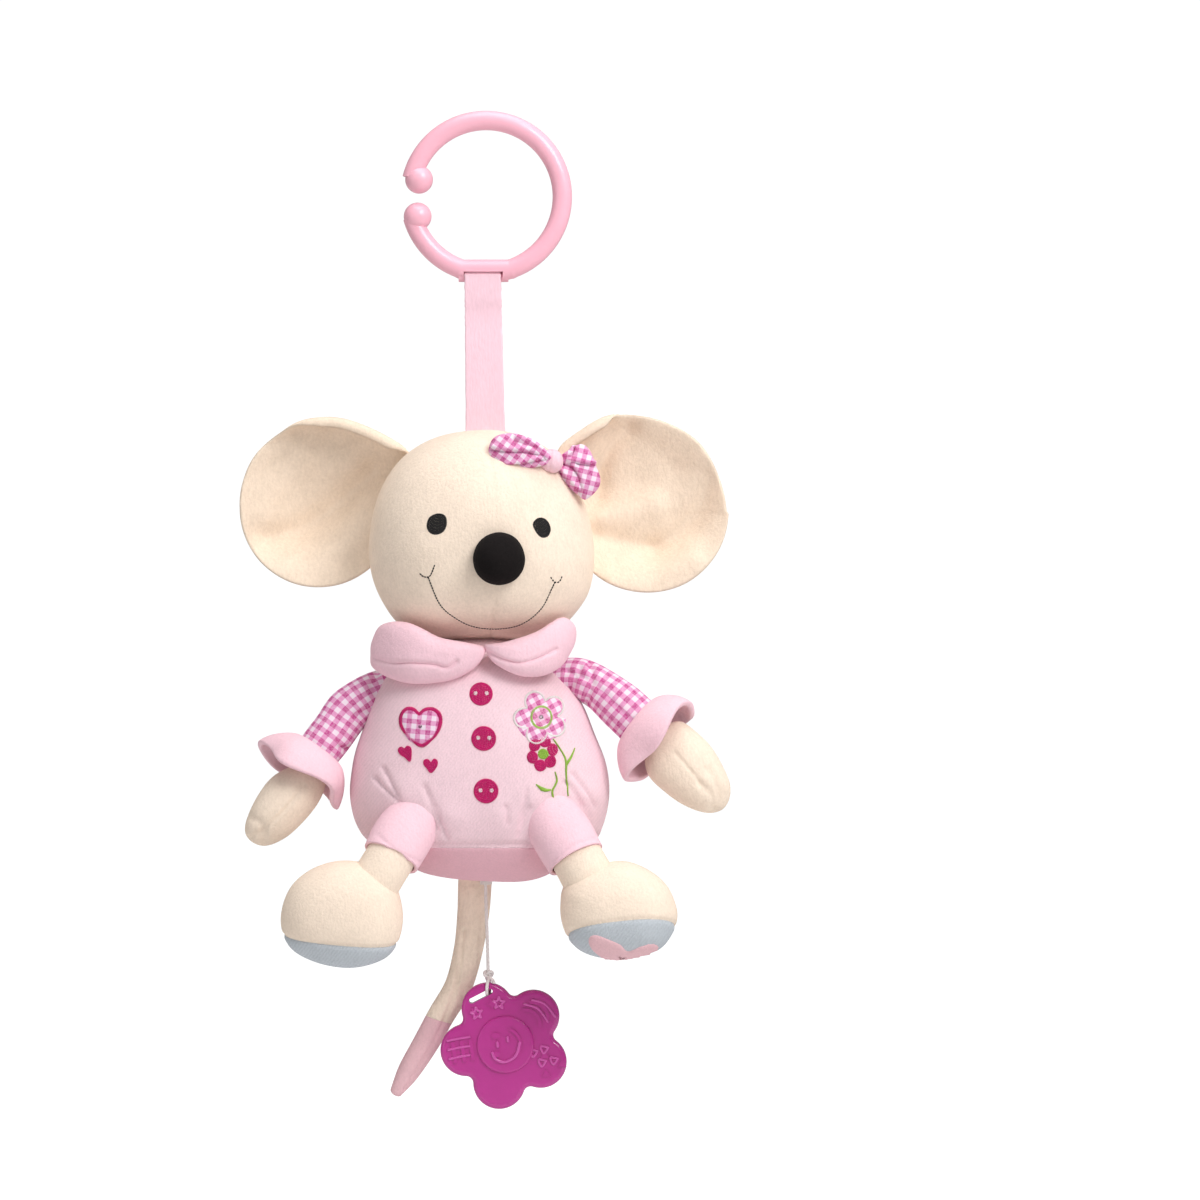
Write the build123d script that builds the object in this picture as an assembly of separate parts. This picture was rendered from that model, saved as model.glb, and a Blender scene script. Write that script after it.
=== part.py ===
from build123d import *
import math
import os

# Plush pull-cord musical mouse that hangs from an open plastic ring.
# Millimetres. The origin is the point inside the top of the ring that rests on whatever it hangs from.
# +X is the viewer's right when facing the mouse, +Y is away from the viewer, +Z is up.
# Left and right in the names are the viewer's.

os.makedirs("parts", exist_ok=True)

# ---- driving dimensions ----
GAP = 0.35  # clear space between soft pieces that move apart
SKIN = 1.6  # velour or plush with its backing
STITCH = 0.7  # how far embroidery stands proud of the cloth
FAR = 400.0  # longer than any cutting tool has to be

# ring
RING_TUBE_R = 5.45
RING_R = 42.7
RING_Z = RING_TUBE_R - RING_R
RING_FLAT_X = 14.0  # half length of the straight, thicker bottom
RING_FLAT_Z = -77.85
BALL_R = 7.8
BALL_PLACES = ((-37.5, -27.7), (-38.3, -48.3))
RING_OPEN_FROM = 166.0  # degrees, from +X towards +Z
RING_OPEN_TO = 196.0

# strap
STRAP_X = -1.4
STRAP_W = 20.6
STRAP_PIN_Z = -82.0
STRAP_PIN_R = 3.0
STRAP_LOOP_R = 4.3
TAPE = 0.9
STRAP_HALF = 1.1  # half the thickness of the two plies sewn together
STRAP_JOIN_Z = -102.0
STRAP_END_Z = -167.0

# head
BODY_Y = 3.0  # the stuffed parts hang with their middle this far behind the strap
HEAD = Vector(-3.1, BODY_Y, -227.6)
HEAD_SIZE = (63.0, 56.0, 59.0)
NOSE = Vector(7.3, BODY_Y - 58.5, -239.8)
NOSE_R = 14.8
EYES = {"eye_left": (-27.4, -220.4, 10.4, 10.4, -15.0), "eye_right": (31.1, -222.4, 9.4, 10.6, 20.0)}
EARS = {"left": (-101.6, -211.0, 36.4, 48.7), "right": (97.6, -212.0, 38.6, 52.2)}
EAR_HALF = 4.2
EAR_Y = BODY_Y + 5.0

# torso: arcs of (radius, height) that make a pear shape, which is then flattened front to back
TORSO_X = -4.6
TORSO_FLAT = 0.68
TORSO_TOP = -288.5
TORSO_BOTTOM = -421.4
TORSO_ARCS = (  # each arc's middle and end, down from the top
    ((30, -294), (50, -310)),
    ((63.5, -339), (71.5, -374)),
    ((64, -400), (40, -417.5)),
    ((20, -420.6), (0, TORSO_BOTTOM)),
)
BASE_SEAM_Z = -400.0

# limbs: root centre, direction, lengths from the root centre to the sleeve's end, cuff's end and tip
ARMS = {
    "left": (Vector(-63.8, BODY_Y - 6, -314.4), Vector(-0.62, -0.16, -0.78)),
    "right": (Vector(50.0, BODY_Y - 6, -308.0), Vector(0.76, -0.14, -0.65)),
}
ARM_ROOT_R = 13.4
ARM_STOPS = (46.0, 58.0, 108.0)
CUFF_R = 25.5
HAND_R = 17.0
HIPS = {"left": Vector(-43.0, BODY_Y - 33, -386.0), "right": Vector(40.0, BODY_Y - 33, -387.0)}
HIP_R = 16.0
TROUSER_END = 21.0
LEG_R = 13.6
FEET = {
    "left": (Vector(-80.6, BODY_Y - 41, -439.3), (33.5, 38.0, 28.8), -455.5),
    "right": (Vector(74.2, BODY_Y - 41, -436.5), (32.8, 37.0, 27.0), -447.0),
}
# a cone round each arm's root: X and radius at its inner end, X and radius at its outer end
ARMHOLES = {"left": (-53.0, 15.0, -73.0, 38.0), "right": (40.5, 13.2, 66.0, 34.0)}
LEG_CHANNEL_TURN = 4.0  # degrees back from rest
HIP_ROOM = 1.2  # clear space round the ball at the root of each leg

# tail
TAIL_Y = BODY_Y + 11.5
TAIL_R = 8.6
TAIL_ROUTE = ((-8, -431), (-13, -462), (-25, -495))
TAIL_TIP_ROUTE = ((-25, -495), (-38, -524), (-50, -539))

# pull cord and its flower
CORD_R = 0.9
CORD_TOP_Z = -372.0
KNOT = Vector(1.2, 0, -471.8)
KNOT_R = 2.9
LOOP_X = 1.2
LOOP_TOP_Z = -475.5
LOOP_BOTTOM_Z = -482.7
LOOP_HALF_Y = 5.7
FLOWER = Vector(10.9, 0, -511.4)
FLOWER_TURN = 117.0  # degrees, where the lobe with the slot points
LOBE_AT = 22.1
LOBE_R = 14.6
FLOWER_HALF = 4.0
FACE_R = 16.0
SLOT_AT = 30.2
SLOT_LENGTH = 14.6
SLOT_W = 3.0

# music movement: every axle runs along X
MODULE = 0.8
DRUM_TEETH, CYLINDER_TEETH, FLY_TEETH = 40, 20, 12
DRUM = Vector(0, 10, CORD_TOP_Z)
CYLINDER = DRUM + Vector(0, 0, MODULE * (DRUM_TEETH + CYLINDER_TEETH) / 2)
FLY_ANGLE = 200.0
FLY_REACH = MODULE * (DRUM_TEETH + FLY_TEETH) / 2
FLY = DRUM + Vector(0, FLY_REACH, 0).rotate(Axis.X, FLY_ANGLE)
AXLE_R = 1.5
AXLE_FIT = 0.05
GEAR_X = (8.0, 11.0)
CASE_LOW = Vector(-20, -19, -396)
CASE_HIGH = Vector(24, 31, -334)
CASE_WALL = 2.0
LID = 3.0


def save(name, shape):
    shape.label = name
    export_step(shape, f"parts/{name}.step")


def egg(centre, sizes, grow=0.0):
    """An ellipsoid with the given half sizes, all made larger by grow."""
    a, b, c = (size + grow for size in sizes)
    return Pos(*centre) * scale(Sphere(a), by=(1, b / a, c / a))


def slab(low, high):
    """A box between two opposite corners."""
    low, high = Vector(*low), Vector(*high)
    size = high - low
    return Pos(*((low + high) / 2)) * Box(size.X, size.Y, size.Z)


def below(z):
    return slab((-FAR, -FAR, z - FAR), (FAR, FAR, z))


def rod(start, end, radius):
    """A round bar between two points."""
    start, end = Vector(*start), Vector(*end)
    run = end - start
    return Plane(origin=start, z_dir=run) * Cylinder(
        radius, run.length, align=(Align.CENTER, Align.CENTER, Align.MIN)
    )


def front_prism(face):
    """A face drawn in X and Z, extended through the whole front half of the toy."""
    return Pos(0, BODY_Y, 0) * extrude(Plane.XZ * face, FAR / 2)


def spun(outline, centre, direction):
    """Revolves a closed outline of (radius, distance) edges about the line through centre."""
    solid = revolve(Plane.XZ * make_face(outline), Axis.Z)
    return Plane(origin=centre, z_dir=direction.normalized()) * solid


def tube(points, radius, radii, plane):
    """A round tube along straight runs joined by tangent arcs."""
    path = plane * FilletPolyline(*points, radius=radii)
    start = Plane(origin=path @ 0, z_dir=path % 0)
    return sweep(start * Circle(radius), path=path)


# ---- ring and strap ----
def make_ring():
    arc = 360 - (RING_OPEN_TO - RING_OPEN_FROM)
    ring = revolve(Pos(RING_R, 0) * Circle(RING_TUBE_R), Axis.Y, arc)
    ring = Pos(0, 0, RING_Z) * Rot(0, -RING_OPEN_FROM, 0) * ring
    ring += rod((-RING_FLAT_X, 0, RING_FLAT_Z), (RING_FLAT_X, 0, RING_FLAT_Z), RING_TUBE_R)
    for side in (-1, 1):
        ring += Pos(side * RING_FLAT_X, 0, RING_FLAT_Z) * Sphere(RING_TUBE_R)
    for x, z in BALL_PLACES:
        ring += Pos(x, 0, z) * Sphere(BALL_R)
    half = STRAP_W / 2 + 0.6
    low, high = STRAP_X - half, STRAP_X + half
    ring -= rod((low, 0, STRAP_PIN_Z), (high, 0, STRAP_PIN_Z), STRAP_LOOP_R + 0.4)
    ring -= slab((low, -20, STRAP_PIN_Z - 20), (high, 20, STRAP_PIN_Z + 2.5))
    ring += rod((low - 3, 0, STRAP_PIN_Z), (high + 3, 0, STRAP_PIN_Z), STRAP_PIN_R)
    return ring


def drop_outline(radius, half, join_z):
    """A circle about the strap's pin that narrows to a flat band below it."""
    circle = Pos(0, STRAP_PIN_Z) * Circle(radius)
    reach = STRAP_PIN_Z - join_z
    lean = math.asin((radius - half) / reach)
    y, z = radius * math.cos(lean), STRAP_PIN_Z - radius * math.sin(lean)
    return circle + make_face(Polyline((-y, z), (-half, join_z), (half, join_z), (y, z), close=True))


def make_strap():
    outer = drop_outline(STRAP_LOOP_R, STRAP_HALF, STRAP_JOIN_Z)
    inner = drop_outline(STRAP_LOOP_R - TAPE, 0.15, STRAP_JOIN_Z + 4)
    band = Pos(0, (STRAP_JOIN_Z + STRAP_END_Z) / 2) * Rectangle(2 * STRAP_HALF, STRAP_JOIN_Z - STRAP_END_Z)
    outline = outer - inner + band + Pos(0, STRAP_END_Z) * Circle(STRAP_HALF)
    return Pos(STRAP_X, 0, 0) * extrude(Plane.YZ * outline, STRAP_W / 2, both=True)


save("hanging_ring", make_ring())
save("hanging_strap", make_strap())

# ---- head ----
head_outer = egg(HEAD, HEAD_SIZE)
head_stuffing = egg(HEAD, HEAD_SIZE, -SKIN)
save("head_skin", head_outer - head_stuffing)
save("head_stuffing", head_stuffing)
head_film = egg(HEAD, HEAD_SIZE, STITCH) - head_outer
save("nose", Pos(*NOSE) * Sphere(NOSE_R) - egg(HEAD, HEAD_SIZE, 0.02))
for name, (x, z, wide, high, turn) in EYES.items():
    oval = Pos(x, z) * Rot(0, 0, turn) * Ellipse(wide / 2, high / 2)
    save(name, front_prism(oval) & head_film)

MOUTH = (
    (-32.5, -248.5), (-26, -265), (-17, -273), (-6.5, -278),
    (7.3, -279.2), (20, -276.4), (30.8, -268), (37, -256.5),
)
mouth_line = Spline(*MOUTH)
save("mouth_stitch", front_prism(trace(mouth_line, 1.0)) & head_film)

# bow, on the front of the crown
KNOT_OF_BOW = (Vector(35.8, BODY_Y - 23, -184.6), (7.0, 6.5, 6.4))
BOW_LOOPS = {
    "left": (Vector(16.4, BODY_Y - 37, -179.8), (15.2, 6.5, 10.0), 8),
    "right": (Vector(50.6, BODY_Y - 19, -191.0), (14.0, 6.5, 13.0), 35),
}
bow_knot = egg(*KNOT_OF_BOW) - head_outer
save("bow_knot", bow_knot)
for side, (centre, sizes, turn) in BOW_LOOPS.items():
    loop = Pos(*centre) * Rot(0, turn, 0) * egg((0, 0, 0), sizes)
    save(f"bow_loop_{side}", loop - head_outer - egg(*KNOT_OF_BOW))

# ears: a front and a back ply sewn round the rim
for side, (x, z, half_wide, half_high) in EARS.items():
    whole = egg((x, EAR_Y, z), (half_wide, EAR_HALF, half_high))
    front_ply = whole & slab((-FAR, -FAR, -FAR), (FAR, EAR_Y, FAR))
    save(f"ear_{side}_front", front_ply)
    save(f"ear_{side}_back", whole - front_ply)


# ---- limbs, which the torso then makes room for ----
def arm_pieces(root, direction, grow=0.0):
    """The sleeve, the frilled cuff and the hand, end to end on one axis."""
    sleeve_end, cuff_end, tip = ARM_STOPS
    radius = ARM_ROOT_R + grow
    sleeve = [
        CenterArc((0, 0), radius, -90, 90),
        Polyline((radius, 0), (radius + 0.8, sleeve_end), (0, sleeve_end), (0, -radius)),
    ]
    cuff = [Polyline((0, sleeve_end), (19 + grow, sleeve_end), (CUFF_R + grow, cuff_end - 4),
                     (CUFF_R + grow, cuff_end), (0, cuff_end), (0, sleeve_end))]
    hand_edge = Spline((13 + grow, cuff_end), (HAND_R + grow, (cuff_end + tip) / 2), (0, tip + grow),
                       tangents=((0.3, 1), (-1, 0)))
    hand = [hand_edge, Polyline((0, tip + grow), (0, cuff_end), (13 + grow, cuff_end))]
    return {name: spun(Curve(outline), root, direction)
            for name, outline in (("sleeve", sleeve), ("cuff", cuff), ("hand", hand))}


def leg_pieces(side, grow=0.0):
    """The trouser cuff at the hip, the leg, and the foot with its sole."""
    hip = HIPS[side]
    centre, sizes, sole_z = FEET[side]
    run = centre - hip
    radius = HIP_R + grow
    trouser = [
        CenterArc((0, 0), radius, -90, 90),
        Polyline((radius, 0), (radius + 0.6, TROUSER_END), (0, TROUSER_END), (0, -radius)),
    ]
    leg = [Polyline((0, TROUSER_END), (LEG_R + grow, TROUSER_END), (LEG_R + 1 + grow, run.length),
                    (0, run.length), (0, TROUSER_END))]
    whole_foot = egg(centre, sizes, grow)
    leg_solid = spun(Curve(leg), hip, run) - whole_foot
    trouser_solid = spun(Curve(trouser), hip, run) - whole_foot
    return {
        "trouser": trouser_solid,
        "leg": leg_solid,
        "foot": whole_foot - below(sole_z),
        "sole": whole_foot & below(sole_z),
    }


for side, (root, direction) in ARMS.items():
    for name, solid in arm_pieces(root, direction).items():
        save(f"{name}_{side}", solid)
for side in HIPS:
    for name, solid in leg_pieces(side).items():
        save(f"{name}_{side}", solid)

# rooms in the torso for the limb roots: a ball, and a cone or a channel where the limb swings past
sockets = []
for side, (root, direction) in ARMS.items():
    near_x, near_r, far_x, far_r = ARMHOLES[side]
    start, end = Vector(near_x, root.Y, root.Z), Vector(far_x, root.Y, root.Z)
    hole = Plane(origin=start, z_dir=end - start) * Cone(
        near_r, far_r, (end - start).length, align=(Align.CENTER, Align.CENTER, Align.MIN)
    )
    sockets += [Pos(*root) * Sphere(ARM_ROOT_R + GAP), hole]
for side, hip in HIPS.items():
    run = (FEET[side][0] - hip).rotate(Axis.X, LEG_CHANNEL_TURN)
    channel = rod(hip, hip + run, HIP_R + HIP_ROOM + 1.0)
    sockets.append(channel + Pos(*hip) * Sphere(HIP_R + HIP_ROOM))


# ---- torso ----
def pear(shrink=0.0):
    """The torso's outer shape, or the same shape inside it by shrink."""
    middle_z = TORSO_ARCS[1][1][1]

    def inside(point):
        radius, z = point
        share = 1 - shrink / TORSO_ARCS[1][1][0]
        return radius * share, middle_z + (z - middle_z) * share

    top = inside((0, TORSO_TOP))
    edges, start = [], top
    for middle, end in TORSO_ARCS:
        edges.append(ThreePointArc(start, inside(middle), inside(end)))
        start = inside(end)
    edges.append(Line(start, top))
    solid = revolve(Plane.XZ * make_face(Curve(edges)), Axis.Z)
    return Pos(TORSO_X, BODY_Y, 0) * scale(solid, by=(1, TORSO_FLAT, 1))


cord_way = rod((0, 0, -500), (0, 0, CORD_TOP_Z), CORD_R + 0.7)
torso_outer = pear() - sockets - cord_way
torso_core = pear(SKIN)
torso_shell = torso_outer - torso_core
front_of_torso = slab((-FAR, -FAR, BASE_SEAM_Z), (FAR, BODY_Y, FAR))
save("torso_front", torso_shell & front_of_torso)
save("torso_back", torso_shell - front_of_torso - below(BASE_SEAM_Z))
GROMMET_R = 3.4
grommet_space = rod((0, 0, -430), (0, 0, -415), GROMMET_R)
save("base_panel", (torso_shell & below(BASE_SEAM_Z)) - grommet_space)
grommet = rod((0, 0, TORSO_BOTTOM - 0.8), (0, 0, TORSO_BOTTOM + SKIN), GROMMET_R) - cord_way
save("cord_grommet", grommet)
case_room = slab(CASE_LOW - Vector(1, 1, 1), CASE_HIGH + Vector(1, 1, 1))
stuffing = (torso_core & torso_outer) - case_room - grommet_space
save("torso_stuffing", stuffing)

# collar: two rounded lobes that lie on the chest under the chin
COLLAR = {"left": (-34.2, -294.8, 32.6, 14.2, 5), "right": (25.6, -292.6, 25.8, 13.8, -6)}
for side, (x, z, half_wide, half_high, turn) in COLLAR.items():
    lobe = Pos(x, BODY_Y - 25, z) * Rot(0, turn, 0) * egg((0, 0, 0), (half_wide, 12, half_high))
    save(f"collar_{side}", lobe - pear())


# ---- embroidery on the chest ----
def heart(x, z, wide, high, turn=0.0):
    """A heart outline about its own middle."""
    lobe = wide / 4 * 1.08
    top = high / 2 - lobe
    shape = Pos(-wide / 4, top) * Circle(lobe) + Pos(wide / 4, top) * Circle(lobe)
    reach = math.hypot(wide / 4, 0) + lobe
    tip = -high / 2
    shape += make_face(Polyline((-reach * 0.97, top - lobe * 0.3), (0, top + lobe * 0.4),
                                (reach * 0.97, top - lobe * 0.3), (0, tip), close=True))
    return Pos(x, z) * Rot(0, 0, turn) * shape


torso_film = pear(-STITCH) - pear()
button_rows = ((-2.8, -315.6, 6.6), (-1.3, -340.5, 7.0), (0.0, -369.9, 7.0))
buttons = Sketch() + [Pos(x, z) * Circle(r) for x, z, r in button_rows]
holes = Sketch() + [Pos(x + dx, z) * Circle(1.3) for x, z, r in button_rows for dx in (-2.2, 2.2)]
big_heart = heart(-36.4, -334.2, 19.0, 15.8, 8)
big_border = heart(-36.4, -334.5, 23.4, 20.4, 8)
save("heart_patch", front_prism(big_heart) & torso_film)
small_hearts = heart(-43.1, -355.1, 8.4, 9.5, 20) + heart(-27.2, -362.0, 8.6, 8.2, -12)
SMALL_FLOWER = (31.9, -349.2)
small_petals = Sketch() + [
    Pos(*SMALL_FLOWER) * Rot(0, 0, 90 + 72 * n) * Pos(5.4, 0) * Circle(4.1) for n in range(5)
]
small_eye = Pos(*SMALL_FLOWER) * Circle(3.5)
small_flower = small_petals - Pos(*SMALL_FLOWER) * Circle(3.7)
FLOWER_PATCH = (32.9, -331.8)
PATCH_EYE_R, PATCH_RING_R = 4.8, 7.3
petals = Sketch() + [
    Pos(*FLOWER_PATCH) * Rot(0, 0, 38 + 72 * n) * Pos(9.6, 0) * Ellipse(7.4, 6.8) for n in range(5)
]
patch_ring = Pos(*FLOWER_PATCH) * Circle(PATCH_RING_R)
flower_cloth = petals - Pos(*FLOWER_PATCH) * Circle(PATCH_RING_R + 0.3) - small_petals - small_eye
save("flower_patch", front_prism(flower_cloth) & torso_film)
green_ring = patch_ring - Pos(*FLOWER_PATCH) * Circle(PATCH_EYE_R) - small_petals
STEM_W = 1.5
stems = small_eye
for line in (((44.8, -352), (44.6, -360), (45.6, -367.2)), ((39.5, -358), (38, -363), (38.2, -367.4))):
    stems += trace(Polyline(*line), STEM_W)
save("green_stitching", front_prism(stems + green_ring) & torso_film)
magenta = Sketch() + [buttons - holes, big_border - big_heart, small_hearts, small_flower]
save("magenta_stitching", front_prism(magenta) & torso_film)

# ---- heart on the sole of the foot on the viewer's right ----
centre, sizes, sole_z = FEET["right"]
sole_film = (egg(centre, sizes, STITCH) - egg(centre, sizes)) & below(sole_z - 1)
save("sole_heart", front_prism(heart(80, -456, 17, 13, -5)) & sole_film)

# ---- tail: a stuffed cream tube with a pink end ----
tail_plane = Plane(origin=(0, TAIL_Y, 0), x_dir=(1, 0, 0), z_dir=(0, -1, 0))
tail_start = Vector(TAIL_ROUTE[0][0], TAIL_Y, TAIL_ROUTE[0][1])
tail_end = Vector(TAIL_TIP_ROUTE[-1][0], TAIL_Y, TAIL_TIP_ROUTE[-1][1])
tail = tube(TAIL_ROUTE, TAIL_R, [60], tail_plane) + Pos(*tail_start) * Sphere(TAIL_R)
tail_tip = tube(TAIL_TIP_ROUTE, TAIL_R, [60], tail_plane) + Pos(*tail_end) * Sphere(TAIL_R)
save("tail", tail - tail_tip)
save("tail_tip", tail_tip)

# ---- pull cord, knot and flower ----
save("pull_cord", rod((0, 0, KNOT.Z + KNOT_R - 0.4), (0, 0, CORD_TOP_Z), CORD_R))
loop_side = [(1.2, KNOT.Z - 0.8), (LOOP_HALF_Y, LOOP_TOP_Z - 1.2), (LOOP_HALF_Y, LOOP_BOTTOM_Z)]
loop_corners = loop_side + [(-y, z) for y, z in reversed(loop_side)]
loop_plane = Plane(origin=(LOOP_X, 0, 0), x_dir=(0, 1, 0), z_dir=(1, 0, 0))
cord_loop = tube(loop_corners, CORD_R, [2.0, 2.6, 2.6, 2.0], loop_plane)
knot = Pos(*KNOT) * Sphere(KNOT_R) + cord_loop
save("cord_knot", knot - rod((0, 0, KNOT.Z), (0, 0, -400), CORD_R + 0.02))


def flower_outline():
    outline = Sketch() + Circle(LOBE_AT)
    outline += [Rot(0, 0, 72 * n) * Pos(LOBE_AT, 0) * Circle(LOBE_R) for n in range(5)]
    return fillet(outline.vertices(), 4.0)


def star(radius):
    tips = [(radius * (1 if n % 2 == 0 else 0.45), 36 * n) for n in range(10)]
    points = [(r * math.cos(math.radians(a)), r * math.sin(math.radians(a))) for r, a in tips]
    return make_face(Polyline(*points, close=True))


def make_flower():
    """One moulding: five lobes round a raised smiling face, with raised shapes on the lobes."""
    body = extrude(flower_outline(), FLOWER_HALF, both=True)
    body = fillet(body.faces().sort_by(Axis.Z)[-1].edges(), 2.6)
    body = fillet(body.faces().sort_by(Axis.Z)[0].edges(), 2.6)
    disc = Pos(0, 0, FLOWER_HALF) * Cylinder(FACE_R, 3.0)
    body += fillet(disc.faces().sort_by(Axis.Z)[-1].edges(), 1.2)
    relief = Sketch() + [Pos(x, 5.2) * Ellipse(1.7, 2.6) for x in (-5.2, 5.2)]
    relief += trace(ThreePointArc((-8.6, -2.6), (0, -8.4), (8.6, -2.6)), 1.7)
    body += Rot(0, 0, 65 - 90) * Pos(0, 0, FLOWER_HALF + 1.5) * extrude(relief, 0.8)
    lobe_relief = {
        0: Pos(23.5, -4) * star(3.6) + Pos(24, 7.4) * star(3.4),
        1: Sketch() + [Pos(24 + 5 * n, 0) * Rectangle(2.1, 12) for n in (-1, 0, 1)],
        3: Sketch() + [Pos(22.5 + 5.4 * n, 4.4 * (-1) ** n) * RegularPolygon(2.9, 3) for n in range(3)],
        4: Sketch() + [trace(ThreePointArc((20 + d, -7), (24 + d, 0), (20 + d, 7)), 1.9) for d in (0, 6)],
    }
    for lobe, shape in lobe_relief.items():
        body += Rot(0, 0, 72 * lobe) * Pos(0, 0, FLOWER_HALF) * extrude(shape, 0.7)
    slot = Pos(SLOT_AT, 0) * Rot(0, 0, 90) * SlotOverall(SLOT_LENGTH, SLOT_W)
    body -= extrude(slot, 3 * FLOWER_HALF, both=True)
    return Plane(origin=FLOWER, x_dir=(1, 0, 0), z_dir=(0, -1, 0)) * Rot(0, 0, FLOWER_TURN) * body


save("flower_pull", make_flower())


# ---- music movement ----
def gear(teeth, bore):
    """Spur gear with involute flanks, thinned for backlash, centred on the local Z axis."""
    pitch_r = MODULE * teeth / 2
    base_r = pitch_r * math.cos(math.radians(20))
    root_r, tip_r = pitch_r - 1.25 * MODULE, pitch_r + 0.85 * MODULE
    half = math.pi / (2 * teeth) * 0.86 + math.tan(math.radians(20)) - math.radians(20)

    def flank(radius):
        turn = math.acos(min(1.0, base_r / max(radius, base_r)))
        return half - (math.tan(turn) - turn)

    radii = [root_r] + [base_r + (tip_r - base_r) * n / 4 for n in range(5)]
    if root_r > base_r:
        radii = [root_r + (tip_r - root_r) * n / 4 for n in range(5)]
    tooth = [(r, flank(r)) for r in radii] + [(r, -flank(r)) for r in reversed(radii)]
    points = []
    for n in range(teeth):
        middle = 2 * math.pi * n / teeth
        points += [(r * math.cos(middle - a), r * math.sin(middle - a)) for r, a in tooth]
    return make_face(Polyline(*points, close=True)) - Circle(bore)


def across(face, place, x_low, x_high, turn=0.0):
    """A face drawn about an axle, made solid between two X positions. Turn 0 points along +Y."""
    plane = Plane(origin=(x_low, place.Y, place.Z), x_dir=(0, 1, 0), z_dir=(1, 0, 0))
    return plane * extrude(Rot(0, 0, turn) * face, x_high - x_low)


def axle(place, x_low, x_high):
    return rod((x_low, place.Y, place.Z), (x_high, place.Y, place.Z), AXLE_R)


bore = AXLE_R + AXLE_FIT
inside_low = CASE_LOW + Vector(CASE_WALL, CASE_WALL, CASE_WALL)
inside_high = CASE_HIGH - Vector(LID, CASE_WALL, CASE_WALL)
axle_ends = (inside_low.X - 1, inside_high.X + 1)

# case: a box open on one side, and its lid, held by four screws
corner = 4.2
posts = [(y, z) for y in (inside_low.Y + corner, inside_high.Y - corner)
         for z in (inside_low.Z + corner, inside_high.Z - corner)]
body_high = Vector(inside_high.X, CASE_HIGH.Y, CASE_HIGH.Z)
case = slab(CASE_LOW, body_high) - slab(inside_low, (inside_high.X + 1, inside_high.Y, inside_high.Z))
lid = slab((inside_high.X, CASE_LOW.Y, CASE_LOW.Z), CASE_HIGH)
screws = []
for y, z in posts:
    case += rod((inside_low.X - 1, y, z), (inside_high.X, y, z), 3.4)
    case -= rod((inside_high.X - 9, y, z), (inside_high.X + 1, y, z), 1.1)
    lid -= rod((inside_high.X - 1, y, z), (CASE_HIGH.X + 1, y, z), 1.1)
    screw = rod((inside_high.X - 8.9, y, z), (CASE_HIGH.X, y, z), 1.05)
    screw += rod((CASE_HIGH.X, y, z), (CASE_HIGH.X + 0.9, y, z), 2.2)
    slot_cut = slab((CASE_HIGH.X + 0.4, y - 3, z - 0.3), (CASE_HIGH.X + 2, y + 3, z + 0.3))
    screws.append(screw - slot_cut)
for place in (DRUM, CYLINDER, FLY):
    pin = axle(place, *axle_ends)
    case -= pin
    lid -= pin
case -= rod((0, 0, CASE_LOW.Z - 1), (0, 0, inside_low.Z + 1), CORD_R + 0.7)
save("music_case", case)
save("music_case_lid", lid)
save("case_screws", Compound(children=screws))
save("movement_axles", Compound(children=[axle(place, *axle_ends) for place in (DRUM, CYLINDER, FLY)]))

# cord drum: a hollow hub with the spring inside, two flanges and the driving gear
FLANGE_R, HUB_R, SPRING_ROOM_R = 12.4, 7.6, 6.6
drum = across(Circle(HUB_R) - Circle(SPRING_ROOM_R), DRUM, -4, 4)
for x_low, x_high in ((-5, -4), (4, 5)):
    drum += across(Circle(FLANGE_R) - Circle(bore), DRUM, x_low, x_high)
drum += across(Circle(4) - Circle(bore), DRUM, 5, GEAR_X[0])
drum += across(gear(DRUM_TEETH, bore), DRUM, *GEAR_X)
save("cord_drum", drum)
save("cord_winding", across(Circle(9.0) - Circle(HUB_R + 0.02), DRUM, -3.8, 3.8))


def spiral(inner, outer, turns, thick):
    """A flat clock spring as one closed strip."""
    steps = int(turns * 24)
    sweep_angle = turns * 2 * math.pi
    route = [(inner + (outer - inner) * n / steps, sweep_angle * n / steps) for n in range(steps + 1)]
    strip = [(r + thick, a) for r, a in route] + [(r, a) for r, a in reversed(route)]
    return make_face(Polyline(*[(r * math.cos(a), r * math.sin(a)) for r, a in strip], close=True))


save("mainspring", across(spiral(2.0, 5.9, 5, 0.35), DRUM, -3.2, 3.2))

# pinned cylinder, whose gear meshes with the drum's at rest
half_tooth = 180 / CYLINDER_TEETH
cylinder = across(Circle(6.3) - Circle(bore), CYLINDER, -16, 5)
cylinder += across(Circle(3.2) - Circle(bore), CYLINDER, 5, GEAR_X[0])
TUNE = (0, 5, 9, 2, 7, 11, 4, 8, 1, 6, 10, 3)
comb_pitch = 1.5
comb_x = -15.0
for note, step in enumerate(TUNE):
    x = comb_x + comb_pitch * (note + 0.5)
    for repeat in range(2):
        angle = 30 * step + 165 * repeat + 12
        pin_end = 7.1
        y = CYLINDER.Y + pin_end * math.cos(math.radians(angle))
        z = CYLINDER.Z + pin_end * math.sin(math.radians(angle))
        start = (x, CYLINDER.Y + (y - CYLINDER.Y) * 0.8, CYLINDER.Z + (z - CYLINDER.Z) * 0.8)
        cylinder += rod(start, (x, y, z), 0.3)
save("music_cylinder", cylinder)
save("cylinder_gear", across(gear(CYLINDER_TEETH, bore), CYLINDER, *GEAR_X, turn=-90 + half_tooth))

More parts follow.
